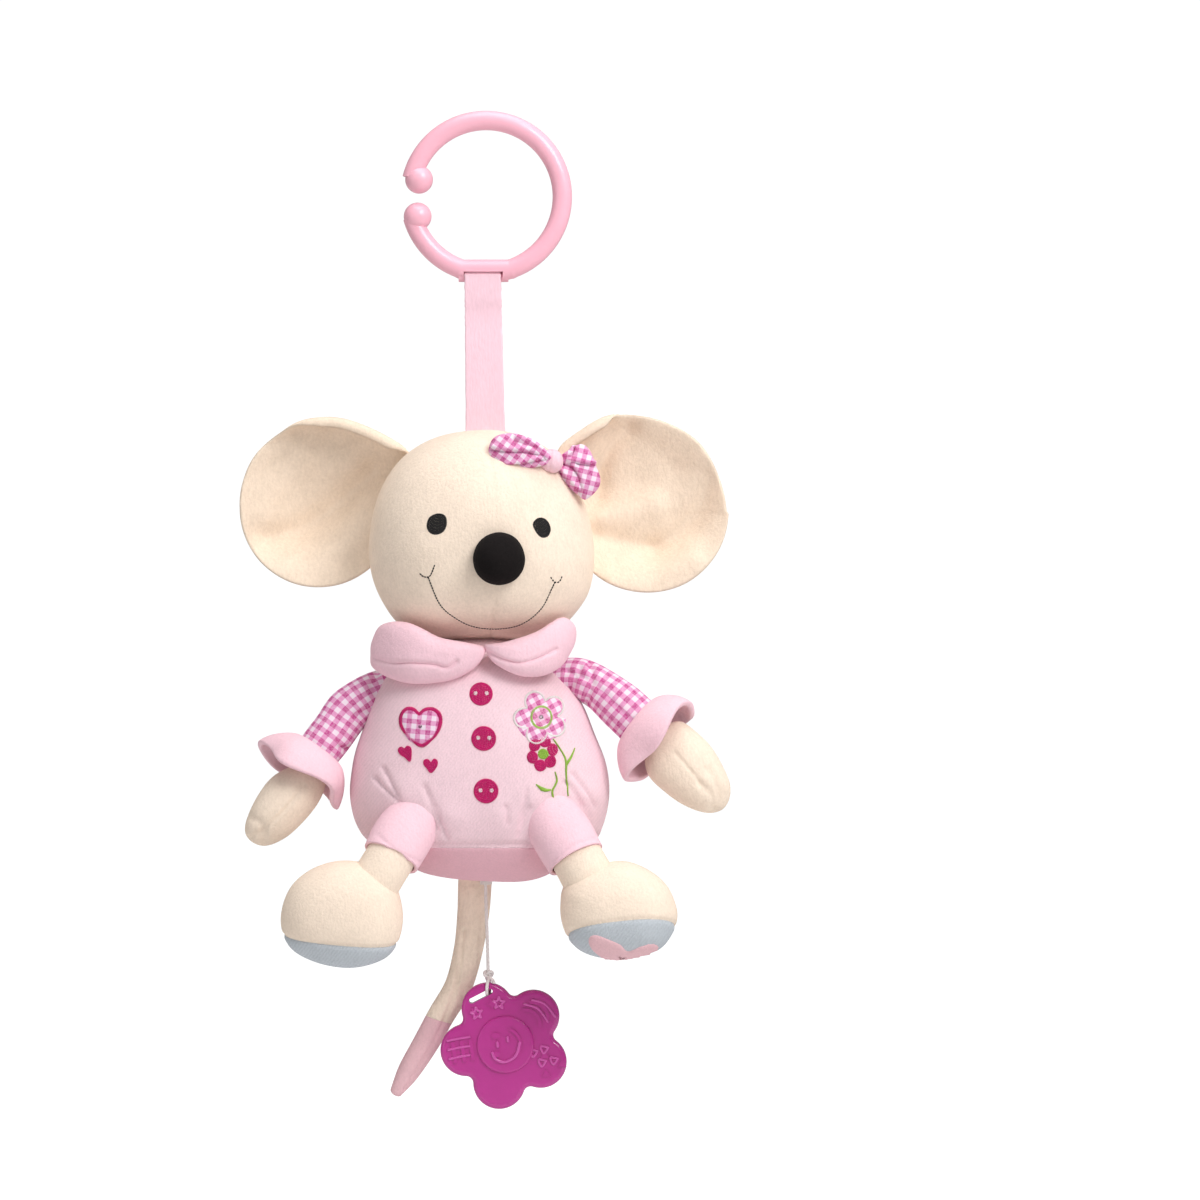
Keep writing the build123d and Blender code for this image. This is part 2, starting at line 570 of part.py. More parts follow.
# comb of tuned teeth on its bedplate, just clear of the cylinder's pins
comb_tip_y = CYLINDER.Y - 7.5
comb_low = (comb_x, inside_low.Y + 1.5, CYLINDER.Z)
comb = slab(comb_low, (comb_x + comb_pitch * 12, comb_tip_y, CYLINDER.Z + 1.0))
for note in range(1, 12):
    x = comb_x + comb_pitch * note
    comb -= slab((x - 0.2, -7.0, CYLINDER.Z - 1), (x + 0.2, comb_tip_y + 1, CYLINDER.Z + 2))
bed = slab((comb_x, inside_low.Y, CYLINDER.Z - 5), (comb_x + comb_pitch * 12, -8.5, CYLINDER.Z))
comb_screws = []
for x in (comb_x + 3.5, comb_x + comb_pitch * 12 - 3.5):
    hole = rod((x, -12.5, CYLINDER.Z - 4), (x, -12.5, CYLINDER.Z + 2), 1.05)
    comb -= hole
    bed -= hole
    screw = rod((x, -12.5, CYLINDER.Z - 3.9), (x, -12.5, CYLINDER.Z + 1.0), 1.0)
    comb_screws.append(screw + rod((x, -12.5, CYLINDER.Z + 1.0), (x, -12.5, CYLINDER.Z + 1.9), 2.0))
save("comb", comb)
save("comb_bedplate", bed)
save("comb_screws", Compound(children=comb_screws))

# governor: a small two-bladed fan on its own pinion
past_tooth = FLY_ANGLE % (360 / DRUM_TEETH)
fly_turn = FLY_ANGLE + 180 + 180 / FLY_TEETH + past_tooth * DRUM_TEETH / FLY_TEETH
fan = across(Circle(2.6) - Circle(bore), FLY, GEAR_X[1], 19)
fan += across((Rectangle(13.0, 0.8) + Circle(2.0)) - Circle(bore), FLY, 13, 18.5)
save("governor_fan", fan)
save("governor_pinion", across(gear(FLY_TEETH, bore), FLY, *GEAR_X, turn=fly_turn))
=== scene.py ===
"""Plush musical mouse: the visible pieces, their finishes and the studio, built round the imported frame."""

import math

import bmesh
import bpy
import numpy as np
from bpy.props import FloatProperty, FloatVectorProperty, IntProperty, PointerProperty
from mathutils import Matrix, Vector
from mathutils.bvhtree import BVHTree


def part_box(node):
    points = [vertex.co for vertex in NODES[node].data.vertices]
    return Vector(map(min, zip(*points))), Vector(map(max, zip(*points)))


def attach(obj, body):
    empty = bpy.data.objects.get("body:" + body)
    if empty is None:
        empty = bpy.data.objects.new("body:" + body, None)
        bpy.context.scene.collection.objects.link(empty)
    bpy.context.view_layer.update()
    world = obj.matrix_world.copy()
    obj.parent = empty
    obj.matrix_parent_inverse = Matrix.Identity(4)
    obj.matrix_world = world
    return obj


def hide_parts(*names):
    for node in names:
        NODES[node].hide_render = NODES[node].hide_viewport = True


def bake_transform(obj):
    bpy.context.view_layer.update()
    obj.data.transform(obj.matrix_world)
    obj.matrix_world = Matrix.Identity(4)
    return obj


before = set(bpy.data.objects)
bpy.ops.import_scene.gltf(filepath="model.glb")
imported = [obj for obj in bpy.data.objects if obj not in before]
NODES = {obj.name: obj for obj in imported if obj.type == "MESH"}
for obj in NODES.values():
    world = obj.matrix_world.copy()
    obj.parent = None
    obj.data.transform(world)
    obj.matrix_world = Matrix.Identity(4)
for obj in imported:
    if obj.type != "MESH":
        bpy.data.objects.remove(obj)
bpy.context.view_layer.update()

bl_info = {
    "name": "Plush Musical Mouse",
    "version": (1, 0, 0),
    "blender": (4, 5, 0),
    "location": "View3D > Sidebar > Mouse",
    "description": "Builds a hanging plush mouse with a musical pull cord, piece by piece",
    "category": "Add Mesh",
}

# Patterns are drawn in millimetres on the hanging plane (Y = 0) and carried to their own depth.
MM = 0.001
EYE = np.array((63.8, -2400.0, -263.0))
NEAR = -1
FAR = 1


def srgb(red, green, blue):
    """A colour as a dyer's chart gives it, in 0 to 255, turned into light."""
    share = np.array((red, green, blue)) / 255.0
    light = np.where(share <= 0.04045, share / 12.92, ((share + 0.055) / 1.055) ** 2.4)
    return tuple(float(v) for v in light)


# ---------------------------------------------------------------- shapes


def at_depth(points, depth):
    """A flat pattern brought from the hanging plane to another depth, where it looks the same."""
    middle = EYE[[0, 2]]
    return middle + (np.asarray(points, float) - middle) * (depth - EYE[1]) / -EYE[1]


def seen(co):
    """Where each point shows on the hanging plane."""
    scale = -EYE[1] / (co[:, 1] - EYE[1])
    return np.stack([EYE[k] + (co[:, k] - EYE[k]) * scale for k in (0, 2)], 1)


def smooth_line(points, count, closed=False):
    """Evenly numbered points on a smooth line through the given ones, in any number of dimensions."""
    p = np.asarray(points, float)
    n = len(p)
    t = np.arange(count) / count * n if closed else np.linspace(0, n - 1, count)
    i = np.minimum(np.floor(t).astype(int), n - 1 if closed else n - 2)
    f = (t - i)[:, None]

    def knot(k):
        return p[(i + k) % n] if closed else p[np.clip(i + k, 0, n - 1)]

    a, b, c, d = (knot(k) for k in (-1, 0, 1, 2))
    curve = 2 * b + (c - a) * f + (2 * a - 5 * b + 4 * c - d) * f**2
    return 0.5 * (curve + (3 * b - a - 3 * c + d) * f**3)


def reach(outline, centre, angles):
    """How far a closed outline reaches from its centre at each angle."""
    loop = smooth_line(outline, 720, closed=True) - centre
    turn = np.arctan2(loop[:, 1], loop[:, 0])
    order = np.argsort(turn)
    turn, far = turn[order], np.hypot(loop[:, 0], loop[:, 1])[order]
    turn = np.r_[turn[-1] - math.tau, turn, turn[0] + math.tau]
    return np.interp(angles, turn, np.r_[far[-1], far, far[0]])


def ball_grid(cuts):
    """The directions and faces of a cube blown up to a ball, which has no poles."""
    bm = bmesh.new()
    bmesh.ops.create_cube(bm, size=2)
    bmesh.ops.subdivide_edges(bm, edges=bm.edges[:], cuts=cuts, use_grid_fill=True)
    bm.verts.index_update()
    ways = np.tan(np.array([v.co for v in bm.verts]) * math.pi / 4)
    faces = [[v.index for v in f.verts] for f in bm.faces]
    bm.free()
    return ways / np.linalg.norm(ways, axis=1)[:, None], faces


def stuffed(outline, centre, depth, front, back, crown=2.0, cuts=40):
    """A stuffed form from its outline and how far it swells to the front and to the back."""
    ways, faces = ball_grid(cuts)
    across = np.hypot(ways[:, 0], ways[:, 2])
    angle = np.arctan2(ways[:, 2], ways[:, 0])
    middle = at_depth([centre], depth)[0]
    rim = reach(at_depth(outline, depth), middle, angle)
    full = (across**crown + np.abs(ways[:, 1]) ** crown) ** (-1 / crown)
    swell = np.where(ways[:, 1] < 0, front, back)
    spread = across * full * rim
    co = np.stack(
        [
            middle[0] + np.cos(angle) * spread,
            depth + ways[:, 1] * full * swell,
            middle[1] + np.sin(angle) * spread,
        ],
        1,
    )
    return co, faces


def normals_of(co, faces):
    """The outward direction at each point."""
    quads = np.array([list(f) if len(f) == 4 else [*f, f[-1]] for f in faces])
    lean = np.cross(co[quads[:, 2]] - co[quads[:, 0]], co[quads[:, 3]] - co[quads[:, 1]])
    total = np.zeros_like(co)
    for k in range(4):
        np.add.at(total, quads[:, k], lean)
    return total / np.maximum(np.linalg.norm(total, axis=1), 1e-9)[:, None]


def line_distance(points, line):
    """How far each point is from a broken line."""
    line = np.asarray(line, float)
    best = np.full(len(points), 1e9)
    for a, b in zip(line[:-1], line[1:]):
        ab = b - a
        t = np.clip((points - a) @ ab / max(ab @ ab, 1e-9), 0, 1)
        best = np.minimum(best, np.linalg.norm(points - (a + t[:, None] * ab), axis=1))
    return best


def crease(co, faces, lines, width, deep, side=NEAR):
    """Sewn or folded lines pulled in on the near or the far side. A negative depth makes ridges."""
    normal = normals_of(co, faces)
    flat = seen(co)
    pull = np.zeros(len(co))
    for line in lines:
        smooth = smooth_line(line, 6 * len(line))
        pull = np.maximum(pull, np.exp(-((line_distance(flat, smooth) / width) ** 2)))
    facing = np.clip(normal[:, 1] * side * 3, 0, 1)
    return co - normal * (deep * pull * facing)[:, None]


def swellings(co, faces, spots, side=NEAR):
    """Soft humps, or hollows where the height is negative, each a place, a radius and a height."""
    normal = normals_of(co, faces)
    flat = seen(co)
    facing = np.clip(normal[:, 1] * side * 3, 0, 1)
    for x, z, radius, height in spots:
        away = np.hypot(flat[:, 0] - x, flat[:, 1] - z) / radius
        co = co + normal * (height * np.exp(-(away**2)) * facing)[:, None]
    return co


def lumps(co, faces, size, height, seed):
    """The small unevenness of stuffing under cloth."""
    rng = np.random.default_rng(seed)
    waves = rng.normal(size=(9, 3)) / size
    phases = rng.uniform(0, math.tau, 9)
    rise = np.sin(co @ waves.T + phases).mean(1)
    return co + normals_of(co, faces) * (rise * height)[:, None]


def piece(name, co, faces, finish, corner_uv=None):
    """A mesh object from points in millimetres."""
    mesh = bpy.data.meshes.new(name)
    mesh.from_pydata((np.asarray(co, float) * MM).tolist(), [], [list(f) for f in faces])
    mesh.update()
    mesh.shade_smooth()
    if corner_uv is not None:
        layer = mesh.uv_layers.new(name="Cloth")
        layer.data.foreach_set("uv", (np.asarray(corner_uv, float) * MM).ravel())
    mesh.materials.append(finish)
    obj = bpy.data.objects.new(name, mesh)
    bpy.context.scene.collection.objects.link(obj)
    return obj


def thicken(obj, thick, smooth_levels=0):
    """Gives a sheet its thickness, inwards, and rounds it."""
    wall = obj.modifiers.new("Wall", "SOLIDIFY")
    wall.thickness = thick * MM
    wall.offset = -1
    if smooth_levels:
        finer = obj.modifiers.new("Finer", "SUBSURF")
        finer.levels = smooth_levels
        finer.render_levels = smooth_levels
    return obj


def settle(obj):
    """Applies the modifiers, leaving one plain mesh."""
    graph = bpy.context.evaluated_depsgraph_get()
    mesh = bpy.data.meshes.new_from_object(obj.evaluated_get(graph))
    obj.modifiers.clear()
    old = obj.data
    obj.data = mesh
    bpy.data.meshes.remove(old)
    mesh.name = obj.name
    return obj


def cut(co, faces, planes, closed):
    """The part of a form on the inner side of some planes, each a point and an outward direction."""
    bm = bmesh.new()
    verts = [bm.verts.new(p) for p in np.asarray(co, float).tolist()]
    for f in faces:
        bm.faces.new([verts[k] for k in f])
    for point, way in planes:
        everything = bm.verts[:] + bm.edges[:] + bm.faces[:]
        bmesh.ops.bisect_plane(
            bm, geom=everything, plane_co=point, plane_no=way, clear_outer=True
        )
    if closed:
        rim = [e for e in bm.edges if e.is_boundary]
        bmesh.ops.holes_fill(bm, edges=rim, sides=0)
        bmesh.ops.triangulate(bm, faces=[f for f in bm.faces if len(f.verts) > 8])
    bm.verts.index_update()
    made = np.array([v.co for v in bm.verts]), [[v.index for v in f.verts] for f in bm.faces]
    bm.free()
    return made


def rows_to_faces(rows, around, first=0):
    """Faces between rings of points, each ring as long as the others and closed."""
    faces = []
    for i in range(rows - 1):
        for j in range(around):
            k = (j + 1) % around
            a, b = first + i * around, first + (i + 1) * around
            faces.append((a + j, a + k, b + k, b + j))
    return faces


def bag(knots, around=48, along=60, ends=(True, True), check=0.0):
    """A soft tube along knots of (x, y, z, half width, half depth), with round closed ends.

    The cloth coordinates run round and along it, with a whole number of checks round it."""
    line = smooth_line(knots, along)
    middle, wide, deep = line[:, :3], line[:, 3], line[:, 4]
    tangent = np.gradient(middle, axis=0)
    tangent /= np.linalg.norm(tangent, axis=1)[:, None]
    behind = np.array((0.0, 1.0, 0.0)) - tangent * tangent[:, 1:2]
    behind /= np.linalg.norm(behind, axis=1)[:, None]
    beside = np.cross(behind, tangent)
    step = np.arange(6) / 6 * math.pi / 2
    rings = [(middle[k], wide[k], deep[k], k) for k in range(along)]
    if ends[0]:
        rings[:1] = [
            (
                middle[0] - tangent[0] * math.cos(s) * wide[0] * 0.6,
                wide[0] * math.sin(s),
                deep[0] * math.sin(s),
                0,
            )
            for s in (*step[1:], math.pi / 2)
        ]
    if ends[1]:
        last = along - 1
        rings[-1:] = [
            (
                middle[last] + tangent[last] * math.sin(s) * wide[last] * 0.6,
                wide[last] * math.cos(s),
                deep[last] * math.cos(s),
                last,
            )
            for s in step
        ]
    turn = math.pi / 2 + np.arange(around) / around * math.tau
    co = np.concatenate(
        [
            p + np.cos(turn)[:, None] * beside[k] * w + np.sin(turn)[:, None] * behind[k] * d
            for p, w, d, k in rings
        ]
    )
    faces = rows_to_faces(len(rings), around)
    girth = math.tau * (wide.mean() + deep.mean()) / 2
    if check:
        girth = check * round(girth / check)
    runs = np.r_[0, np.cumsum(np.linalg.norm(np.diff([r[0] for r in rings], axis=0), axis=1))]
    uv = []
    for i in range(len(rings) - 1):
        for j in range(around):
            u, v = j / around * girth, (j + 1) / around * girth
            uv += [(u, runs[i]), (v, runs[i]), (v, runs[i + 1]), (u, runs[i + 1])]
    for closed, ring, row in ((ends[0], 0, 0), (ends[1], len(rings) - 1, len(rings) - 1)):
        if closed:
            tip = len(co)
            centre = co[ring * around : (ring + 1) * around].mean(0)
            co = np.vstack([co, centre])
            for j in range(around):
                pair = (ring * around + j, ring * around + (j + 1) % around)
                faces.append((*(pair if row else pair[::-1]), tip))
                u, v = j / around * girth, (j + 1) / around * girth
                pair_uv = [(u, runs[row]), (v, runs[row])]
                uv += [*(pair_uv if row else pair_uv[::-1]), ((u + v) / 2, runs[row])]
    inside = np.cross(beside[0], behind[0]) @ tangent[0] > 0
    if not inside:
        turned, at = [], 0
        for f in faces:
            turned += uv[at : at + len(f)][::-1]
            at += len(f)
        faces, uv = [tuple(f)[::-1] for f in faces], turned
    return co, faces, uv


def landing(co, faces):
    """A form that patterns can be laid on."""
    return BVHTree.FromPolygons(np.asarray(co, float).tolist(), [list(f) for f in faces])


def lay_on(tree, flat):
    """The points of a form, and its outward directions, that flat pattern points fall on."""
    places, outs = [], []
    for x, z in np.asarray(flat, float):
        way = np.array((x, 0.0, z)) - EYE
        way /= np.linalg.norm(way)
        hit, out, _, _ = tree.ray_cast(Vector(EYE), Vector(way))
        if hit is None:
            hit, out, _, _ = tree.find_nearest(Vector((x, -40.0, z)))
        places.append(hit[:])
        outs.append(out[:])
    return np.array(places), np.array(outs)


def patch(name, tree, outline, centre, lift, finish, rings=12, around=96, turn=0.0):
    """Cloth cut to an outline and sewn down on a form, with its edge pulled in."""
    angle = np.arange(around) / around * math.tau
    rim = reach(outline, np.array(centre), angle)
    shares = np.linspace(0, 1, rings + 1)[1:]
    flat = [(centre[0] + 0.01, centre[1])]
    for share in shares:
        flat += (
            np.array(centre)
            + np.stack([np.cos(angle), np.sin(angle)], 1) * (rim * share)[:, None]
        ).tolist()
    places, outs = lay_on(tree, flat)
    rise = np.r_[lift, np.repeat(lift * (1 - shares**6) - 0.5 * (shares > 0.999), around)]
    co = places + outs * rise[:, None]
    co[0] = co[1 : 1 + around].mean(0)
    faces = [(0, 1 + j, 1 + (j + 1) % around) for j in range(around)]
    faces += rows_to_faces(rings, around, first=1)
    flat = np.array(flat)
    c, s = math.cos(turn), math.sin(turn)
    cloth = np.stack([flat[:, 0] * c - flat[:, 1] * s, flat[:, 0] * s + flat[:, 1] * c], 1)
    normal = normals_of(co, faces)
    if (normal * outs).sum() < 0:
        faces = [f[::-1] for f in faces]
    uv = [cloth[k] for f in faces for k in f]
    return thicken(piece(name, co, faces, finish, uv), 0.5)


# ---------------------------------------------------------------- stitches


def stitch_tree():
    """Geometry Nodes: lays a stitch at each point, along its own direction and as long as its span."""
    name = "Thread stitches"
    if name in bpy.data.node_groups:
        return bpy.data.node_groups[name]
    tree = bpy.data.node_groups.new(name, "GeometryNodeTree")
    faces = tree.interface
    faces.new_socket("Geometry", in_out="INPUT", socket_type="NodeSocketGeometry")
    for label, kind, value in (
        ("Thread Width", "NodeSocketFloat", 0.6 * MM),
        ("Thread Height", "NodeSocketFloat", 0.4 * MM),
        ("Unevenness", "NodeSocketFloat", 0.12),
        ("Seed", "NodeSocketInt", 4),
        ("Thread", "NodeSocketMaterial", None),
    ):
        socket = faces.new_socket(label, in_out="INPUT", socket_type=kind)
        if value is not None:
            socket.default_value = value
    faces.new_socket("Geometry", in_out="OUTPUT", socket_type="NodeSocketGeometry")
    bench = Bench(tree)
    given = bench.add("NodeGroupInput").outputs
    lay = bench.add("GeometryNodeInputNamedAttribute", {"Name": "lay"}, data_type="FLOAT_VECTOR")
    out = bench.add("GeometryNodeInputNamedAttribute", {"Name": "out"}, data_type="FLOAT_VECTOR")
    span = bench.add("GeometryNodeInputNamedAttribute", {"Name": "span"}, data_type="FLOAT")
    low = bench.add("ShaderNodeMath", {0: 1.0, 1: given["Unevenness"]}, operation="SUBTRACT")
    high = bench.add("ShaderNodeMath", {0: 1.0, 1: given["Unevenness"]}, operation="ADD")
    vary = bench.add(
        "FunctionNodeRandomValue",
        {"Min": low.outputs[0], "Max": high.outputs[0], "Seed": given["Seed"]},
        data_type="FLOAT",
    )
    uneven = next(o for o in vary.outputs if o.enabled)
    wide = bench.add("ShaderNodeMath", {0: given["Thread Width"], 1: uneven}, operation="MULTIPLY")
    size = bench.add(
        "ShaderNodeCombineXYZ",
        {"X": given["Thread Height"], "Y": wide.outputs[0], "Z": span.outputs["Attribute"]},
    )
    along = bench.add(
        "FunctionNodeAlignRotationToVector", {"Vector": lay.outputs["Attribute"]}, axis="Z"
    )
    upright = bench.add(
        "FunctionNodeAlignRotationToVector",
        {"Rotation": along.outputs[0], "Vector": out.outputs["Attribute"]},
        axis="X",
        pivot_axis="Z",
    )
    one = bench.add("GeometryNodeMeshUVSphere", {"Segments": 6, "Rings": 5, "Radius": 0.5})
    spread = bench.add(
        "GeometryNodeInstanceOnPoints",
        {
            "Points": given["Geometry"],
            "Instance": one.outputs["Mesh"],
            "Rotation": upright.outputs[0],
            "Scale": size.outputs[0],
        },
    )
    real = bench.add("GeometryNodeRealizeInstances", {"Geometry": spread.outputs[0]})
    round_off = bench.add("GeometryNodeSetShadeSmooth", {"Geometry": real.outputs[0]})
    dyed = bench.add(
        "GeometryNodeSetMaterial",
        {"Geometry": round_off.outputs[0], "Material": given["Thread"]},
    )
    bench.add("NodeGroupOutput", {"Geometry": dyed.outputs[0]})
    return tree


def stitches(name, runs, finish, thread=0.6, height=0.45, seed=4):
    """Sewn thread from runs of (places, directions, outward directions, spans)."""
    places, lays, outs, spans = (np.concatenate([np.asarray(r[k]) for r in runs]) for k in range(4))
    mesh = bpy.data.meshes.new(name)
    mesh.from_pydata((places * MM).tolist(), [], [])
    for label, values in (("lay", lays), ("out", outs)):
        layer = mesh.attributes.new(label, "FLOAT_VECTOR", "POINT")
        layer.data.foreach_set("vector", np.asarray(values, np.float32).ravel())
    layer = mesh.attributes.new("span", "FLOAT", "POINT")
    layer.data.foreach_set("value", (np.asarray(spans) * MM).astype(np.float32))
    obj = bpy.data.objects.new(name, mesh)
    tree = stitch_tree()
    settings = {
        "Thread Width": thread * MM,
        "Thread Height": height * MM,
        "Seed": seed,
        "Thread": finish,
    }
    maker = obj.modifiers.new("Stitches", "NODES")
    maker.node_group = tree
    for item in tree.interface.items_tree:
        if item.item_type == "SOCKET" and item.in_out == "INPUT" and item.name in settings:
            maker[item.identifier] = settings[item.name]
    bpy.context.scene.collection.objects.link(obj)
    return settle(obj)


def even_line(points, spacing, closed=False):
    """Points at even steps along a smooth line."""
    fine = smooth_line(points, 60 * len(points), closed)
    if closed:
        fine = np.vstack([fine, fine[:1]])
    run = np.r_[0, np.cumsum(np.linalg.norm(np.diff(fine, axis=0), axis=1))]
    count = max(int(run[-1] / spacing), 2)
    marks = (np.arange(count) + 0.5) / count * run[-1]
    return np.stack([np.interp(marks, run, fine[:, k]) for k in range(fine.shape[1])], 1)


def satin_border(tree, outline, width, spacing=0.42, closed=True, slant=0.15):
    """A line of stitches that lie across it."""
    flat = even_line(outline, spacing, closed)
    places, outs = lay_on(tree, flat)
    if closed:
        along = np.roll(places, -1, 0) - np.roll(places, 1, 0)
    else:
        along = np.gradient(places, axis=0)
    along /= np.maximum(np.linalg.norm(along, axis=1), 1e-9)[:, None]
    widths = width if np.ndim(width) == 0 else np.interp(
        np.linspace(0, 1, len(flat)), np.linspace(0, 1, len(width)), width
    )
    lays = np.cross(outs, along) + along * slant
    return places, lays, outs, np.ones(len(flat)) * widths


def running_line(tree, line, stitch, gap, closed=False, sink=0.0):
    """A line of stitches that lie along it, with gaps between."""
    flat = even_line(line, stitch + gap, closed)
    places, outs = lay_on(tree, flat)
    lays = np.gradient(places, axis=0)
    return places - outs * sink, lays, outs, np.full(len(flat), stitch)


def filled(tree, outline, way, length=2.6, spacing=0.45, inset=0.2):
    """Rows of stitches that fill an outline, laid along a direction."""
    loop = smooth_line(outline, 160, closed=True)
    way = np.array(way, float) / np.hypot(*way)
    side = np.array((-way[1], way[0]))
    u, v = loop @ way, loop @ side
    runs = []
    for row, at in enumerate(np.arange(v.min() + spacing / 2, v.max(), spacing)):
        crossing = np.nonzero((v > at) != (np.roll(v, -1) > at))[0]
        hits = []
        for k in crossing:
            m = (k + 1) % len(v)
            hits.append(u[k] + (u[m] - u[k]) * (at - v[k]) / (v[m] - v[k]))
        hits.sort()
        for a, b in zip(hits[::2], hits[1::2]):
            a, b = a + inset, b - inset
            if b - a < 0.5:
                continue
            marks = np.arange(a - length * (row % 2) / 2, b, length)
            for m in marks:
                lo, hi = max(m, a), min(m + length, b)
                if hi - lo > 0.35:
                    runs.append((way * (lo + hi) / 2 + side * at, hi - lo))
    flat = np.array([r[0] for r in runs])
    places, outs = lay_on(tree, flat)
    ends, _ = lay_on(tree, flat + way * 0.5)
    return places, ends - places, outs, np.array([r[1] for r in runs]) * 1.1


# ---------------------------------------------------------------- finishes


class Bench:
    """Adds nodes to a tree and wires them up."""

    def __init__(self, tree):
        self.tree = tree

    def add(self, kind, inputs=None, **settings):
        node = self.tree.nodes.new(kind)
        for key, value in settings.items():
            setattr(node, key, value)
        for key, value in (inputs or {}).items():
            socket = node.inputs[key]
            if isinstance(value, bpy.types.NodeSocket):
                self.tree.links.new(value, socket)
            elif value is not None:
                socket.default_value = value
        return node

    def maths(self, operation, first, second=0.0):
        node = self.add("ShaderNodeMath", {0: first, 1: second}, operation=operation)
        return node.outputs[0]

    def noise(self, vector, scale, detail=2.0, rough=0.5):
        inputs = {"Vector": vector, "Scale": scale, "Detail": detail, "Roughness": rough}
        return self.add("ShaderNodeTexNoise", inputs).outputs["Fac"]

    def stretched(self, vector, scale, turn=(0.0, 0.0, 0.0)):
        inputs = {"Vector": vector, "Scale": scale, "Rotation": turn}
        return self.add("ShaderNodeMapping", inputs).outputs[0]

    def ranged(self, value, low, high, to_low=0.0, to_high=1.0):
        inputs = {"Value": value, 1: low, 2: high, 3: to_low, 4: to_high}
        return self.add("ShaderNodeMapRange", inputs).outputs[0]

    def mixed(self, share, first, second):
        inputs = {0: share, 6: first, 7: second}
        return self.add("ShaderNodeMix", inputs, data_type="RGBA").outputs[2]


def effect(name, inputs):
    """An empty shader node group with its inputs, a colour and a height coming out."""
    tree = bpy.data.node_groups.new(name, "ShaderNodeTree")
    for label, kind, value in inputs:
        socket = tree.interface.new_socket(label, in_out="INPUT", socket_type=f"NodeSocket{kind}")
        if value is not None:
            socket.default_value = value
    tree.interface.new_socket("Colour", in_out="OUTPUT", socket_type="NodeSocketColor")
    tree.interface.new_socket("Height", in_out="OUTPUT", socket_type="NodeSocketFloat")
    bench = Bench(tree)
    return tree, bench, bench.add("NodeGroupInput").outputs


def pile_effect():
    """Short brushed pile: fine tufts, a nap that leans one way, and soft brush marks."""
    name = "Brushed pile"
    if name in bpy.data.node_groups:
        return bpy.data.node_groups[name]
    tree, bench, given = effect(
        name,
        [
            ("Vector", "Vector", None),
            ("Colour", "Color", (0.8, 0.7, 0.6, 1)),
            ("Shade", "Color", (0.6, 0.5, 0.4, 1)),
            ("Tufts", "Float", 700.0),
            ("Rows", "Float", 0.0),
            ("Mottle", "Float", 0.5),
        ],
    )
    place = given["Vector"]
    tufts = bench.noise(place, given["Tufts"], 2.0, 0.65)
    leaning = bench.stretched(place, (1.0, 1.0, 0.3), (0.0, 0.5, 0.0))
    nap = bench.noise(leaning, given["Tufts"], 3.0, 0.6)
    brushed = bench.noise(place, 95.0, 3.0, 0.55)
    broad = bench.noise(place, 26.0, 2.0, 0.5)
    slanted = bench.stretched(place, (1.0, 1.0, 1.0), (0.0, 0.9, 0.0))
    rows = bench.add(
        "ShaderNodeTexWave",
        {"Vector": slanted, "Scale": 190.0, "Distortion": 3.0, "Detail": 2.0, "Detail Scale": 3.0},
        bands_direction="Z",
    ).outputs["Fac"]
    fine = bench.maths("MULTIPLY", tufts, 0.55)
    fine = bench.maths("ADD", fine, bench.maths("MULTIPLY", nap, 0.6))
    fine = bench.maths("ADD", fine, bench.maths("MULTIPLY", rows, given["Rows"]))
    height = bench.maths("ADD", fine, bench.maths("MULTIPLY", brushed, 0.5))
    tone = bench.maths("ADD", bench.ranged(tufts, 0.3, 0.7, -0.16, 0.16), 0.74)
    tone = bench.maths("ADD", tone, bench.ranged(nap, 0.3, 0.7, -0.14, 0.14))
    cloud = bench.maths(
        "ADD", bench.ranged(brushed, 0.3, 0.7, -0.3, 0.3), bench.ranged(broad, 0.3, 0.7, -0.3, 0.3)
    )
    tone = bench.maths("ADD", tone, bench.maths("MULTIPLY", cloud, given["Mottle"]))
    tone = bench.maths(
        "ADD", tone, bench.maths("MULTIPLY", bench.maths("SUBTRACT", rows, 0.5), given["Rows"])
    )
    colour = bench.mixed(bench.ranged(tone, 0.0, 1.0), given["Shade"], given["Colour"])
    bench.add("NodeGroupOutput", {"Colour": colour, "Height": height})
    return tree


